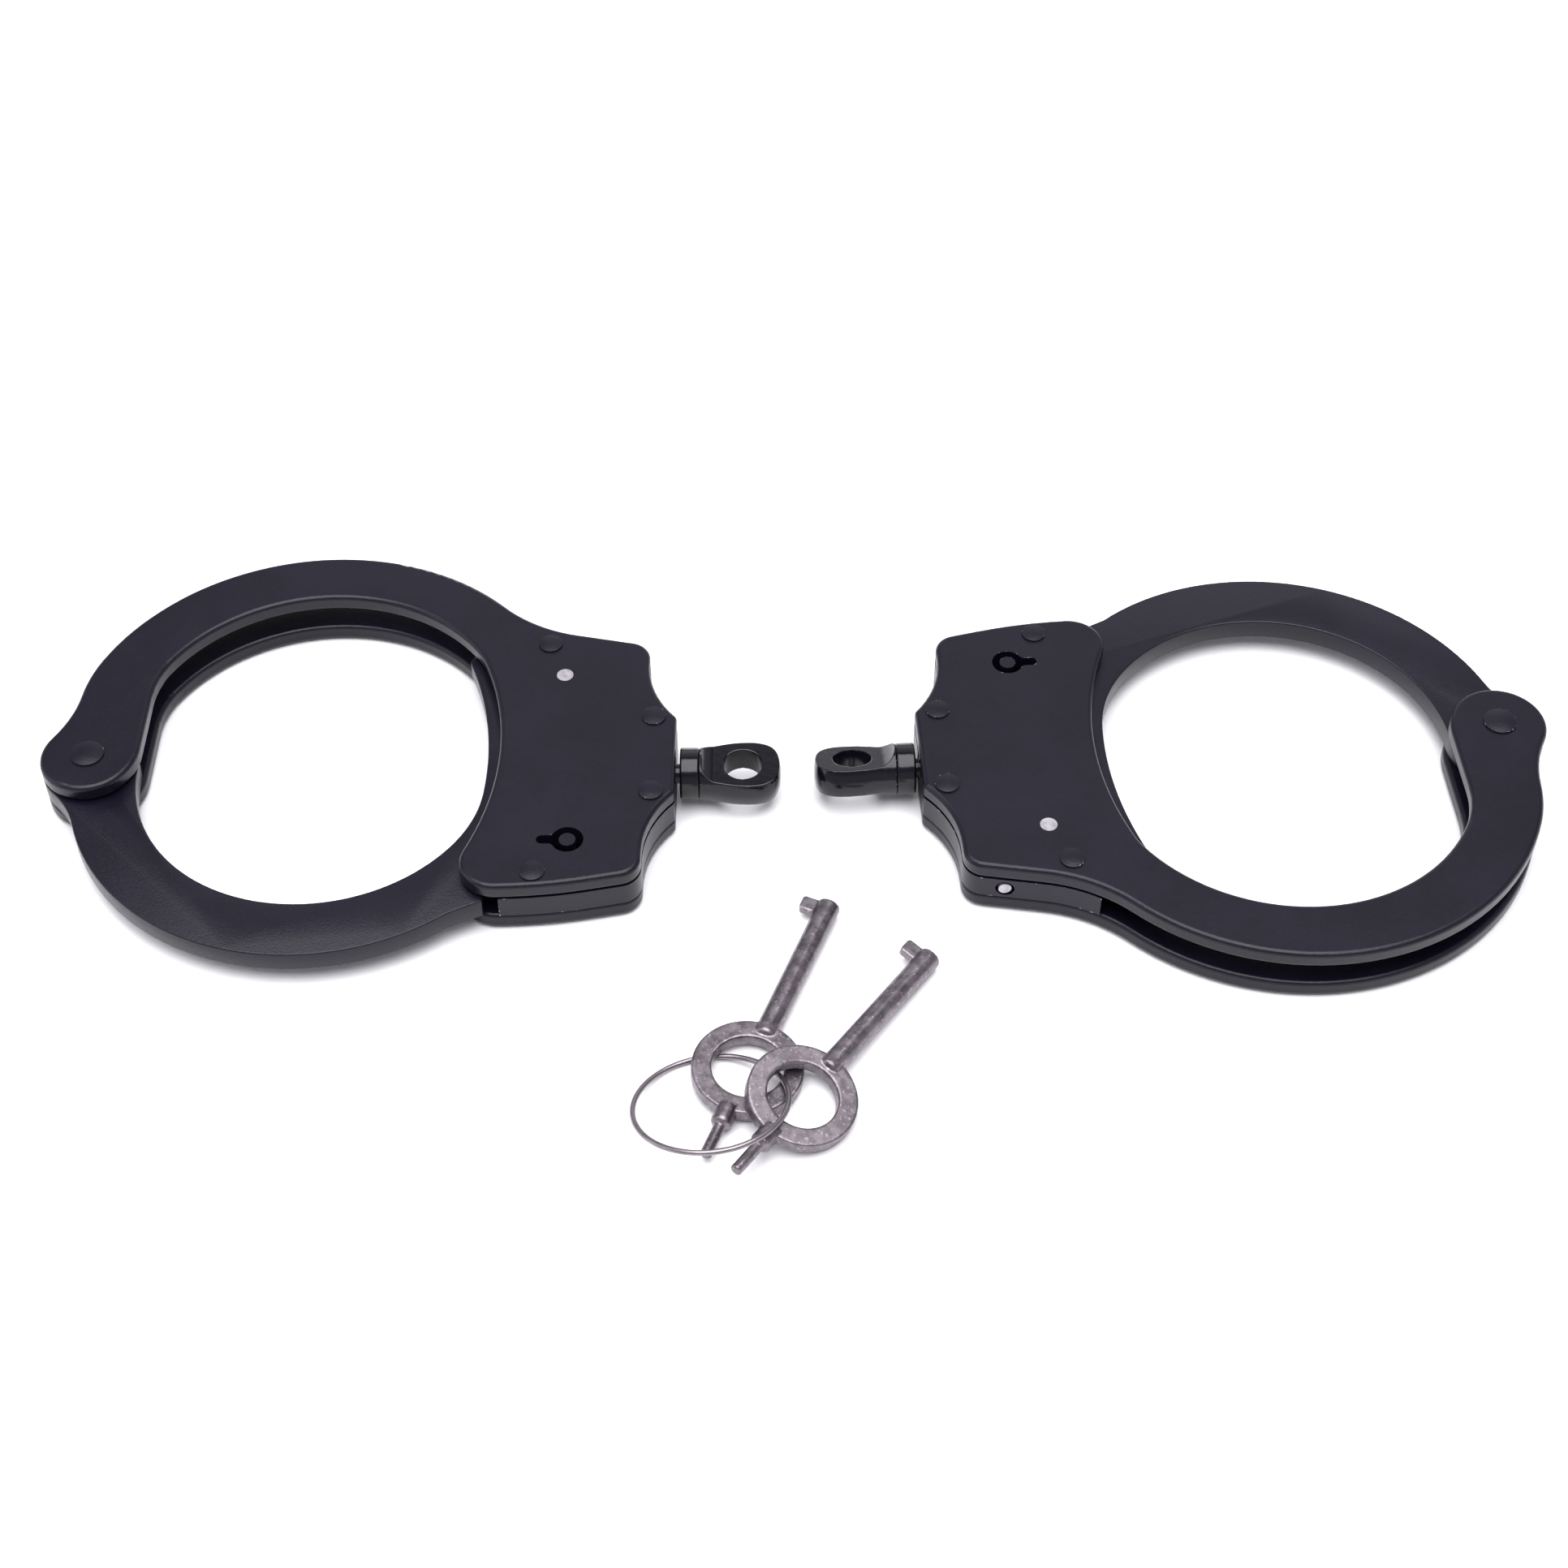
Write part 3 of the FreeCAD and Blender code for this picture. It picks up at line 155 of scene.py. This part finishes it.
class StageSettings(bpy.types.PropertyGroup):
    """White surface, soft light and camera."""
    distance: FloatProperty(
        name="Distance", description="From the camera to the point that it looks at",
        default=0.36749, min=0.05, max=10.0, unit="LENGTH", precision=4)
    elevation: FloatProperty(
        name="Elevation", description="How steeply the camera looks down",
        default=math.radians(47.48), min=0.0, max=math.pi / 2, subtype="ANGLE")
    roll: FloatProperty(
        name="Roll", description="How far the camera leans to one side",
        default=math.radians(-0.225), min=-math.pi, max=math.pi, subtype="ANGLE")
    lens: FloatProperty(
        name="Lens", description="Focal length on a 36 mm wide sensor, in millimetres",
        default=60.3, min=10.0, max=500.0)
    aim: FloatVectorProperty(
        name="Aim", description="Point looked at, from the middle of the set's underside",
        size=3, default=(-1.86 * MM, 7.27 * MM, 9.0 * MM), subtype="TRANSLATION", unit="LENGTH")
    dome: FloatProperty(
        name="Dome Light", description="Strength of the white surroundings, low and overhead",
        default=0.62, min=0.0, max=10.0)
    dome_dip: FloatProperty(
        name="Dome Dip", description="Strength of the surroundings half way up",
        default=0.30, min=0.0, max=10.0)
    dome_tint: FloatVectorProperty(
        name="Dome Tint", description="Colour of the surroundings", subtype="COLOR",
        size=3, min=0.0, max=1.0, default=(0.93, 0.92, 1.0))


# ---- shader writing ----------------------------------------------------------------------
EDGE_SAMPLES = 6                    # rays that feel for an edge at each point


class Link:
    """A value that runs through a finish's nodes, with the arithmetic that the finishes use."""

    def __init__(self, finish, output):
        self.finish = finish
        self.output = output

    def math(self, operation, *values):
        """One Math node; the values are links or plain numbers."""
        return self.finish.node("ShaderNodeMath", {"operation": operation},
                                dict(enumerate(values)))

    def __add__(self, other):
        return self.math("ADD", self, other)

    __radd__ = __add__

    def __sub__(self, other):
        return self.math("SUBTRACT", self, other)

    def __rsub__(self, other):
        return self.math("SUBTRACT", other, self)

    def __mul__(self, other):
        return self.math("MULTIPLY", self, other)

    __rmul__ = __mul__

    def between(self, low, high):
        """0 below low, 1 above high and smooth in between."""
        return self.finish.node("ShaderNodeMapRange", {"interpolation_type": "SMOOTHSTEP"},
                                {"Value": self, "From Min": low, "From Max": high})


class Finish:
    """The nodes of a material, or of the surroundings, under construction."""

    def __init__(self, owner, place="Object"):
        self.owner = owner
        self.owner.use_nodes = True
        self.tree = self.owner.node_tree
        self.tree.nodes.clear()
        self.place = self.node("ShaderNodeTexCoord", output=place)

    def node(self, kind, settings=None, values=None, output=0):
        """Any node: settings first, then the values or links of its sockets."""
        made = self.tree.nodes.new(kind)
        for name, setting in (settings or {}).items():
            setattr(made, name, setting)
        for name, value in (values or {}).items():
            if isinstance(value, Link):
                self.tree.links.new(value.output, made.inputs[name])
            else:
                made.inputs[name].default_value = value
        return Link(self, made.outputs[output])

    def noise(self, width, detail=2.0, roughness=0.5, stretch=None):
        """Noise whose bumps are about as wide as given, in metres."""
        place = self.place
        if stretch:
            place = self.node("ShaderNodeVectorMath", {"operation": "MULTIPLY"},
                              {0: place, 1: stretch})
        return self.node("ShaderNodeTexNoise", None,
                         {"Vector": place, "Scale": 1.0 / width, "Detail": detail,
                          "Roughness": roughness})

    def edges(self, radius):
        """0 on open surfaces, rising where the surface bends within the radius."""
        soft = self.node("ShaderNodeBevel", {"samples": EDGE_SAMPLES}, {"Radius": radius})
        true = self.node("ShaderNodeNewGeometry", output="Normal")
        level = self.node("ShaderNodeVectorMath", {"operation": "DOT_PRODUCT"},
                          {0: soft, 1: true}, output="Value")
        return 1.0 - level

    def mix(self, share, low, high):
        """A colour between two others."""
        return self.node("ShaderNodeMix", {"data_type": "RGBA"},
                         {0: share, 6: low, 7: high}, output=2)

    def bump(self, height, depth):
        """A normal from a height of 0 to 1 that is worth a depth in metres."""
        return self.node("ShaderNodeBump", None,
                         {"Height": height, "Distance": depth, "Strength": 1.0})

    def surface(self, **sockets):
        """The shader and the material's output; a socket's name is written in lower case."""
        names = {"base_color": "Base Color", "metallic": "Metallic", "roughness": "Roughness",
                 "normal": "Normal", "specular": "Specular IOR Level"}
        values = {names[name]: value for name, value in sockets.items()}
        shader = self.node("ShaderNodeBsdfPrincipled", None, values)
        end = self.tree.nodes.new("ShaderNodeOutputMaterial")
        self.tree.links.new(shader.output, end.inputs["Surface"])
        return self.owner


def rgba(colour, share=1.0):
    """A colour with its alpha, scaled by a share."""
    return (colour[0] * share, colour[1] * share, colour[2] * share, 1.0)


# ---- finishes ----------------------------------------------------------------------------
# a pair of numbers is where a pattern begins and where it is at full strength
CHIP_METAL = (0.62, 0.60, 0.63)

SMUDGE_WIDTH = 14 * MM
SMUDGE_SPREAD = (0.35, 0.7)
RUB_WIDTH = 2.2 * MM
CHIP_SIZE = 0.55 * MM
CHIP_SHAPE = (0.64, 0.67)
CHIP_PATCH = 9 * MM
EDGE_REACH = 0.30 * MM
EDGE_BEND = (0.10, 0.22)

DENT_WIDTH = 1.1 * MM
GRIND_WIDTH = 0.16 * MM
GRIND_STRETCH = (1.0, 0.12, 0.6)
FORGING_DEPTH = 0.02 * MM
WEAR_SIZE = 0.4 * MM
WEAR_SHAPE = (0.60, 0.64)
WEAR_PATCH = 4.0 * MM
WEAR_SPREAD = (0.50, 0.56)
WEAR_REACH = 0.35 * MM
WEAR_BEND = (0.06, 0.2)

GRAIN_WIDTH = 0.18 * MM
GRAIN_DEPTH = 0.012 * MM
STAIN_WIDTH = 0.9 * MM
STAIN_SPREAD = (0.3, 0.7)

MOTTLE_WIDTH = 1.6 * MM
MOTTLE_SPREAD = (0.35, 0.65)
SPECKLE_SPREAD = (0.58, 0.70)
PIT_WIDTH = 0.22 * MM
CASTING_DEPTH = 0.022 * MM
RUBBED_REACH = 0.35 * MM
RUBBED_BEND = (0.05, 0.30)
RUBBED_SPREAD = (0.42, 0.6)

SCRATCH_WIDTH = 0.12 * MM
SCRATCH_DEPTH = 0.008 * MM
WIRE_STAIN_WIDTH = 2.5 * MM

SURFACE_WHITE = (0.95, 0.945, 0.96)


def satin_black(settings):
    """Baked satin finish with orange-peel grain, faint smudges and a few chipped edges."""
    finish = Finish(bpy.data.materials.new("satin_black"))
    peel = finish.noise(settings.grain, detail=2.0)
    smudge = finish.noise(SMUDGE_WIDTH, detail=4.0, roughness=0.6)
    rub = finish.noise(RUB_WIDTH, detail=3.0, stretch=(1.0, 4.0, 1.0))
    speck = finish.noise(CHIP_SIZE, detail=1.0)
    patch = finish.noise(CHIP_PATCH, detail=0.0)
    edge = finish.edges(EDGE_REACH).between(*EDGE_BEND)
    least = 1.0 - settings.chip_share * 4.0
    chips = edge * speck.between(*CHIP_SHAPE) * patch.between(least - 0.18, least - 0.12)
    tone = finish.mix(smudge.between(*SMUDGE_SPREAD), rgba(settings.black, 0.86),
                      rgba(settings.black, 1.2))
    return finish.surface(
        base_color=finish.mix(chips, tone, rgba(CHIP_METAL)),
        metallic=chips,
        roughness=settings.roughness + (smudge - 0.5) * 0.10 + (rub - 0.5) * 0.06 - chips * 0.08,
        specular=0.3,
        normal=finish.bump(peel, settings.grain_depth))


def gloss_black(settings):
    """Semi-gloss finish over a ground forging, chipped at its edges."""
    finish = Finish(bpy.data.materials.new("gloss_black"))
    dent = finish.noise(DENT_WIDTH, detail=2.0)
    grind = finish.noise(GRIND_WIDTH, detail=2.0, stretch=GRIND_STRETCH)
    wear = finish.noise(WEAR_SIZE, detail=2.0)
    patch = finish.noise(WEAR_PATCH, detail=0.0)
    edge = finish.edges(WEAR_REACH).between(*WEAR_BEND)
    chips = edge * wear.between(*WEAR_SHAPE) * patch.between(*WEAR_SPREAD)
    rough = settings.roughness + (grind - 0.5) * 0.12 + (dent - 0.5) * 0.08
    return finish.surface(
        base_color=finish.mix(chips, rgba(settings.black), rgba(CHIP_METAL)),
        metallic=chips,
        roughness=rough,
        specular=0.38,
        normal=finish.bump(dent * 0.8 + grind * 0.2, FORGING_DEPTH))


def bare_steel(settings):
    """Dull cut steel with a fine grain and a faint stain."""
    finish = Finish(bpy.data.materials.new("bare_steel"))
    grain = finish.noise(GRAIN_WIDTH, detail=3.0)
    stain = finish.noise(STAIN_WIDTH, detail=3.0)
    return finish.surface(
        base_color=finish.mix(stain.between(*STAIN_SPREAD), rgba(settings.colour, 0.78),
                              rgba(settings.colour, 1.15)),
        metallic=0.85,
        roughness=settings.roughness + (grain - 0.5) * 0.2,
        normal=finish.bump(grain, GRAIN_DEPTH))


def gunmetal(settings):
    """Cast gunmetal: mottled, with pale speckles and rubbed edges."""
    finish = Finish(bpy.data.materials.new("gunmetal"))
    mottle = finish.noise(MOTTLE_WIDTH, detail=4.0, roughness=0.65)
    speckle = finish.noise(settings.speckle, detail=3.0, roughness=0.6)
    pits = finish.noise(PIT_WIDTH, detail=2.0)
    edge = finish.edges(RUBBED_REACH).between(*RUBBED_BEND)
    rubbed = edge * mottle.between(*RUBBED_SPREAD)
    worn = speckle.between(*SPECKLE_SPREAD) * 0.55 + rubbed * 0.6
    tone = finish.mix(mottle.between(*MOTTLE_SPREAD), rgba(settings.dark, 0.78),
                      rgba(settings.dark, 1.3))
    return finish.surface(
        base_color=finish.mix(worn, tone, rgba(settings.worn)),
        metallic=0.92,
        roughness=0.34 + (mottle - 0.5) * 0.3 + (pits - 0.5) * 0.12,
        normal=finish.bump(pits * 0.4 + speckle * 0.6, CASTING_DEPTH))


def drawn_wire(settings):
    """Drawn wire with fine scratches and a faint stain."""
    finish = Finish(bpy.data.materials.new("drawn_wire"))
    scratch = finish.noise(SCRATCH_WIDTH, detail=2.0)
    stain = finish.noise(WIRE_STAIN_WIDTH, detail=3.0)
    return finish.surface(
        base_color=finish.mix(stain, rgba(settings.wire, 0.7), rgba(settings.wire, 1.35)),
        metallic=0.95,
        roughness=0.30 + (scratch - 0.5) * 0.16,
        normal=finish.bump(scratch, SCRATCH_DEPTH))


def white_surface():
    """Plain matt white surface."""
    finish = Finish(bpy.data.materials.new("white_surface"))
    return finish.surface(base_color=rgba(SURFACE_WHITE), roughness=0.9, specular=0.1)


# the surroundings, by the sine of the height above the horizon
DIP_FROM = (0.42, 0.62)
DIP_TO = (0.86, 0.97)


def white_surroundings(settings):
    """White surroundings that are dimmer half way up than at the horizon and overhead."""
    sky = Finish(bpy.data.worlds.new("white_surroundings"), "Generated")
    height = sky.node("ShaderNodeSeparateXYZ", None, {0: sky.place}, output="Z")
    dip = height.between(*DIP_FROM) - height.between(*DIP_TO)
    light = sky.node("ShaderNodeBackground", None,
                     {"Color": rgba(settings.dome_tint),
                      "Strength": settings.dome - dip * (settings.dome - settings.dome_dip)})
    end = sky.tree.nodes.new("ShaderNodeOutputWorld")
    sky.tree.links.new(light.output, end.inputs["Surface"])
    return sky.owner


# ---- mesh making -------------------------------------------------------------------------
EDGE_SEGMENTS = 3                   # across a softened edge
SMOOTHING = 0.5                     # share of the way that each round moves a point
FORGING_ROUNDS = 2                  # of smoothing; a forging keeps more of its edges
CASTING_ROUNDS = 3
COLLAR_STEPS = 96                   # round a collar
RIM_STEPS = 5                       # over a collar's rounded rim


def welded(node):
    """A CAD node's mesh as one connected skin."""
    skin = bmesh.new()
    skin.from_mesh(frame["nodes"][node].data)
    bmesh.ops.remove_doubles(skin, verts=skin.verts, dist=WELD_DISTANCE)
    return skin


def as_piece(skin, name, body, material, node):
    """A finished skin as a shown piece that rides on a body and stands for its CAD node."""
    mesh = bpy.data.meshes.new(name)
    skin.to_mesh(mesh)
    skin.free()
    piece = bpy.data.objects.new(name, mesh)
    bpy.context.scene.collection.objects.link(piece)
    return dressed(piece, body, material, node)


def dressed(piece, body, material, node):
    """A piece with its finish, smooth faces and body; the CAD node that it stands for is hidden.
    """
    mesh = piece.data
    mesh.materials.clear()
    mesh.materials.append(material)
    mesh.polygons.foreach_set("use_smooth", [True] * len(mesh.polygons))
    mesh.set_sharp_from_angle(angle=SHARP_ANGLE)
    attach(piece, body)
    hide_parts(node)
    return piece


def edge_softened(node, name, width, body, material):
    """A CAD node's shape with level facets joined and every real edge rounded over."""
    skin = welded(node)
    bmesh.ops.dissolve_limit(skin, angle_limit=FLAT_ANGLE, verts=skin.verts, edges=skin.edges)
    sharp = [edge for edge in skin.edges
             if edge.is_manifold and edge.calc_face_angle() > SHARP_ANGLE]
    bmesh.ops.bevel(skin, geom=sharp, offset=width, offset_type="OFFSET",
                    segments=EDGE_SEGMENTS, profile=0.5, affect="EDGES", clamp_overlap=True)
    return as_piece(skin, name, body, material, node)


def cast_skin(node, name, step, rounds, body, material):
    """A CAD node's shape with the soft edges and hollows of a forging or a casting."""
    mesh = bpy.data.meshes.new(name)
    skin = welded(node)
    skin.to_mesh(mesh)
    skin.free()
    rough = bpy.data.objects.new(name, mesh)
    bpy.context.scene.collection.objects.link(rough)
    grid = rough.modifiers.new("grid", "REMESH")
    grid.mode = "VOXEL"
    grid.voxel_size = step
    soften = rough.modifiers.new("soften", "SMOOTH")
    soften.factor = SMOOTHING
    soften.iterations = rounds
    seen = rough.evaluated_get(bpy.context.evaluated_depsgraph_get())
    finished = bpy.data.meshes.new_from_object(seen)
    rough.modifiers.clear()
    rough.data = finished
    bpy.data.meshes.remove(mesh)
    return dressed(rough, body, material, node)


def joint_named(name):
    """A joint of the frame."""
    return next(joint for joint in frame["joints"] if joint["name"] == name)


def leaf_spring(side, settings, material):
    """A leaf spring with softened edges and a mesh of its own."""
    spring = edge_softened(f"{side}_pawl_spring", f"{side}_leaf_spring", settings.spring_edge,
                           f"{side}_cuff", material)
    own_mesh(spring)


def turned_collar(node, joint, name, edge, body, material):
    """A ring turned about a joint's axis, as wide as its CAD node, with rounded rims."""
    start = Vector(joint_named(joint)["pos_m"])
    way = Vector(joint_named(joint)["axis"]).normalized()
    spots = [vertex.co - start for vertex in frame["nodes"][node].data.vertices]
    along = [spot.dot(way) for spot in spots]
    reach = [(spot - way * far).length for spot, far in zip(spots, along)]
    low, high = min(along), max(along)
    inner, outer = min(reach), max(reach)
    rims = [(low + edge, -1), (high - edge, 1)]
    profile = [(low, inner)]
    for (middle, side), turns in zip(rims, (range(RIM_STEPS + 1), range(RIM_STEPS, -1, -1))):
        for step in turns:
            angle = math.radians(90.0 * step / RIM_STEPS)
            profile.append((middle + side * edge * math.cos(angle),
                            outer - edge + edge * math.sin(angle)))
    profile.append((high, inner))
    aside = way.cross(Vector((0.0, 0.0, 1.0))).normalized()
    skin = bmesh.new()
    ring = [skin.verts.new(start + way * far + aside * wide) for far, wide in profile]
    rim = [skin.edges.new((ring[index - 1], ring[index])) for index in range(len(ring))]
    bmesh.ops.spin(skin, geom=ring + rim, cent=start, axis=way, angle=math.tau,
                   steps=COLLAR_STEPS, use_merge=True)
    bmesh.ops.recalc_face_normals(skin, faces=skin.faces)
    return as_piece(skin, name, body, material, node)


def finish_nodes(names, material):
    """Gives CAD nodes that are shown as they are their finish."""
    for name in names:
        mesh = frame["nodes"][name].data
        mesh.materials.clear()
        mesh.materials.append(material)


# ---- operators ---------------------------------------------------------------------------
BODY_NODES = ("bottom_cheek", "top_cheek", "centre_block", "strand_rivet", "cheek_rivets",
              "key_post")
STEEL_NODES = ("pawl", "pawl_pin", "lock_bar", "push_pin")


class HANDCUFFS_OT_bodies(bpy.types.Operator):
    """Finish the cheeks, blocks, rivets and key posts in satin black"""
    bl_idname = "handcuffs.bodies"
    bl_label = "Cuff Bodies"

    def execute(self, context):
        black = satin_black(context.scene.handcuffs_cuff)
        finish_nodes([f"{side}_{name}" for side in SIDES for name in BODY_NODES], black)
        return {"FINISHED"}


class HANDCUFFS_OT_strands(bpy.types.Operator):
    """Make the single strands with softened edges"""
    bl_idname = "handcuffs.strands"
    bl_label = "Single Strands"

    def execute(self, context):
        settings = context.scene.handcuffs_cuff
        black = bpy.data.materials["satin_black"]
        for side in SIDES:
            edge_softened(f"{side}_single_strand", f"{side}_strand_arm", settings.strand_edge,
                          f"{side}_strand", black)
        return {"FINISHED"}


class HANDCUFFS_OT_lock_parts(bpy.types.Operator):
    """Finish the pawls, springs, lock bars and pins in bare steel"""
    bl_idname = "handcuffs.lock_parts"
    bl_label = "Lock Parts"

    def execute(self, context):
        settings = context.scene.handcuffs_steel
        steel = bare_steel(settings)
        finish_nodes([f"{side}_{name}" for side in SIDES for name in STEEL_NODES], steel)
        for side in SIDES:
            leaf_spring(side, settings, steel)
        return {"FINISHED"}


class HANDCUFFS_OT_swivels(bpy.types.Operator):
    """Make the forged swivel eyes and their collars"""
    bl_idname = "handcuffs.swivels"
    bl_label = "Swivels"

    def execute(self, context):
        settings = context.scene.handcuffs_swivel
        black = gloss_black(settings)
        for side in SIDES:
            cast_skin(f"{side}_swivel_eye", f"{side}_forged_eye", settings.forging_step,
                      FORGING_ROUNDS, f"{side}_swivel", black)
            turned_collar(f"{side}_swivel_collar", f"{side}_swivel_turn", f"{side}_collar_ring",
                          settings.collar_edge, f"{side}_swivel", black)
        return {"FINISHED"}


class HANDCUFFS_OT_keys(bpy.types.Operator):
    """Make the cast keys and finish their wire ring"""
    bl_idname = "handcuffs.keys"
    bl_label = "Keys and Ring"

    def execute(self, context):
        settings = context.scene.handcuffs_key
        cast = gunmetal(settings)
        for name in ("rear", "front"):
            cast_skin(f"{name}_key", f"{name}_cast_key", settings.casting_step, CASTING_ROUNDS,
                      f"{name}_key", cast)
        finish_nodes(["key_ring"], drawn_wire(settings))
        return {"FINISHED"}


FLOOR_HALF = 4.0                    # metres from the middle of the surface to its edge
SENSOR_WIDTH = 36.0                 # millimetres
NEAREST_SEEN = 0.01                 # metres from the camera
LIGHTS = (
    # name, place, size, power in watts, colour
    ("overhead_softbox", (0.0, -0.1, 1.1), 1.2, 23.0, (1.0, 0.99, 1.0)),
    ("rear_softbox", (0.1, 1.2, 0.75), 1.0, 1.6, (0.97, 0.97, 1.0)),
    ("left_softbox", (-1.1, -0.1, 0.6), 0.8, 3.0, (0.98, 0.97, 1.0)),
)


class HANDCUFFS_OT_stage(bpy.types.Operator):
    """Build the white surface, the soft lights and the camera"""
    bl_idname = "handcuffs.stage"
    bl_label = "Stage"

    def execute(self, context):
        settings = context.scene.handcuffs_stage
        self.add_floor()
        self.add_lights(context, settings)
        self.add_camera(context, settings)
        context.scene.view_settings.view_transform = "Standard"
        return {"FINISHED"}

    def add_floor(self):
        """The surface that the set lies on."""
        skin = bmesh.new()
        bmesh.ops.create_grid(skin, x_segments=1, y_segments=1, size=FLOOR_HALF)
        mesh = bpy.data.meshes.new("white_floor")
        skin.to_mesh(mesh)
        skin.free()
        mesh.materials.append(white_surface())
        floor = bpy.data.objects.new("white_floor", mesh)
        bpy.context.scene.collection.objects.link(floor)

    def add_lights(self, context, settings):
        """The surroundings and the softboxes, which all face the middle of the set."""
        context.scene.world = white_surroundings(settings)
        for name, place, size, power, colour in LIGHTS:
            lamp = bpy.data.lights.new(name, "AREA")
            lamp.size = size
            lamp.energy = power
            lamp.color = colour
            holder = bpy.data.objects.new(name, lamp)
            holder.location = place
            holder.rotation_euler = (-Vector(place)).to_track_quat("-Z", "Y").to_euler()
            context.scene.collection.objects.link(holder)

    def add_camera(self, context, settings):
        """The camera, placed from the point it looks at, its slope, its lean and its distance."""
        low, high = CAD_BOX
        middle = Vector(((low[0] + high[0]) / 2, (low[1] + high[1]) / 2, low[2]))
        aim = middle + Vector(settings.aim)
        forward = Vector((0.0, math.cos(settings.elevation), -math.sin(settings.elevation)))
        right = Vector((1.0, 0.0, 0.0))
        up = right.cross(forward)
        side = right * math.cos(settings.roll) + up * math.sin(settings.roll)
        top = up * math.cos(settings.roll) - right * math.sin(settings.roll)
        turn = Matrix((side, top, -forward)).transposed()
        lens = bpy.data.cameras.new("camera")
        lens.lens = settings.lens
        lens.sensor_width = SENSOR_WIDTH
        lens.clip_start = NEAREST_SEEN
        camera = bpy.data.objects.new("camera", lens)
        camera.matrix_world = Matrix.Translation(aim - forward * settings.distance) @ turn.to_4x4()
        context.scene.collection.objects.link(camera)
        context.scene.camera = camera


class HANDCUFFS_PT_panel(bpy.types.Panel):
    """Lists the operators in the 3D view's sidebar"""
    bl_idname = "HANDCUFFS_PT_panel"
    bl_label = "Handcuffs"
    bl_space_type = "VIEW_3D"
    bl_region_type = "UI"
    bl_category = "Handcuffs"

    def draw(self, context):
        for operator in OPERATORS:
            self.layout.operator(operator.bl_idname)


SETTINGS = {
    "handcuffs_cuff": CuffSettings,
    "handcuffs_swivel": SwivelSettings,
    "handcuffs_steel": SteelSettings,
    "handcuffs_key": KeySettings,
    "handcuffs_stage": StageSettings,
}
OPERATORS = (HANDCUFFS_OT_bodies, HANDCUFFS_OT_strands, HANDCUFFS_OT_lock_parts,
             HANDCUFFS_OT_swivels, HANDCUFFS_OT_keys, HANDCUFFS_OT_stage)


def register():
    """Add the settings, the operators and the panel."""
    for kind in (*SETTINGS.values(), *OPERATORS, HANDCUFFS_PT_panel):
        bpy.utils.register_class(kind)
    for name, kind in SETTINGS.items():
        setattr(bpy.types.Scene, name, PointerProperty(type=kind))


def unregister():
    """Take away what register added."""
    for name in SETTINGS:
        delattr(bpy.types.Scene, name)
    for kind in (HANDCUFFS_PT_panel, *reversed(OPERATORS), *SETTINGS.values()):
        bpy.utils.unregister_class(kind)


def main():
    """Make everything, in order."""
    register()
    bpy.ops.handcuffs.bodies()
    bpy.ops.handcuffs.strands()
    bpy.ops.handcuffs.lock_parts()
    bpy.ops.handcuffs.swivels()
    bpy.ops.handcuffs.keys()
    bpy.ops.handcuffs.stage()


if __name__ == "__main__":
    main()
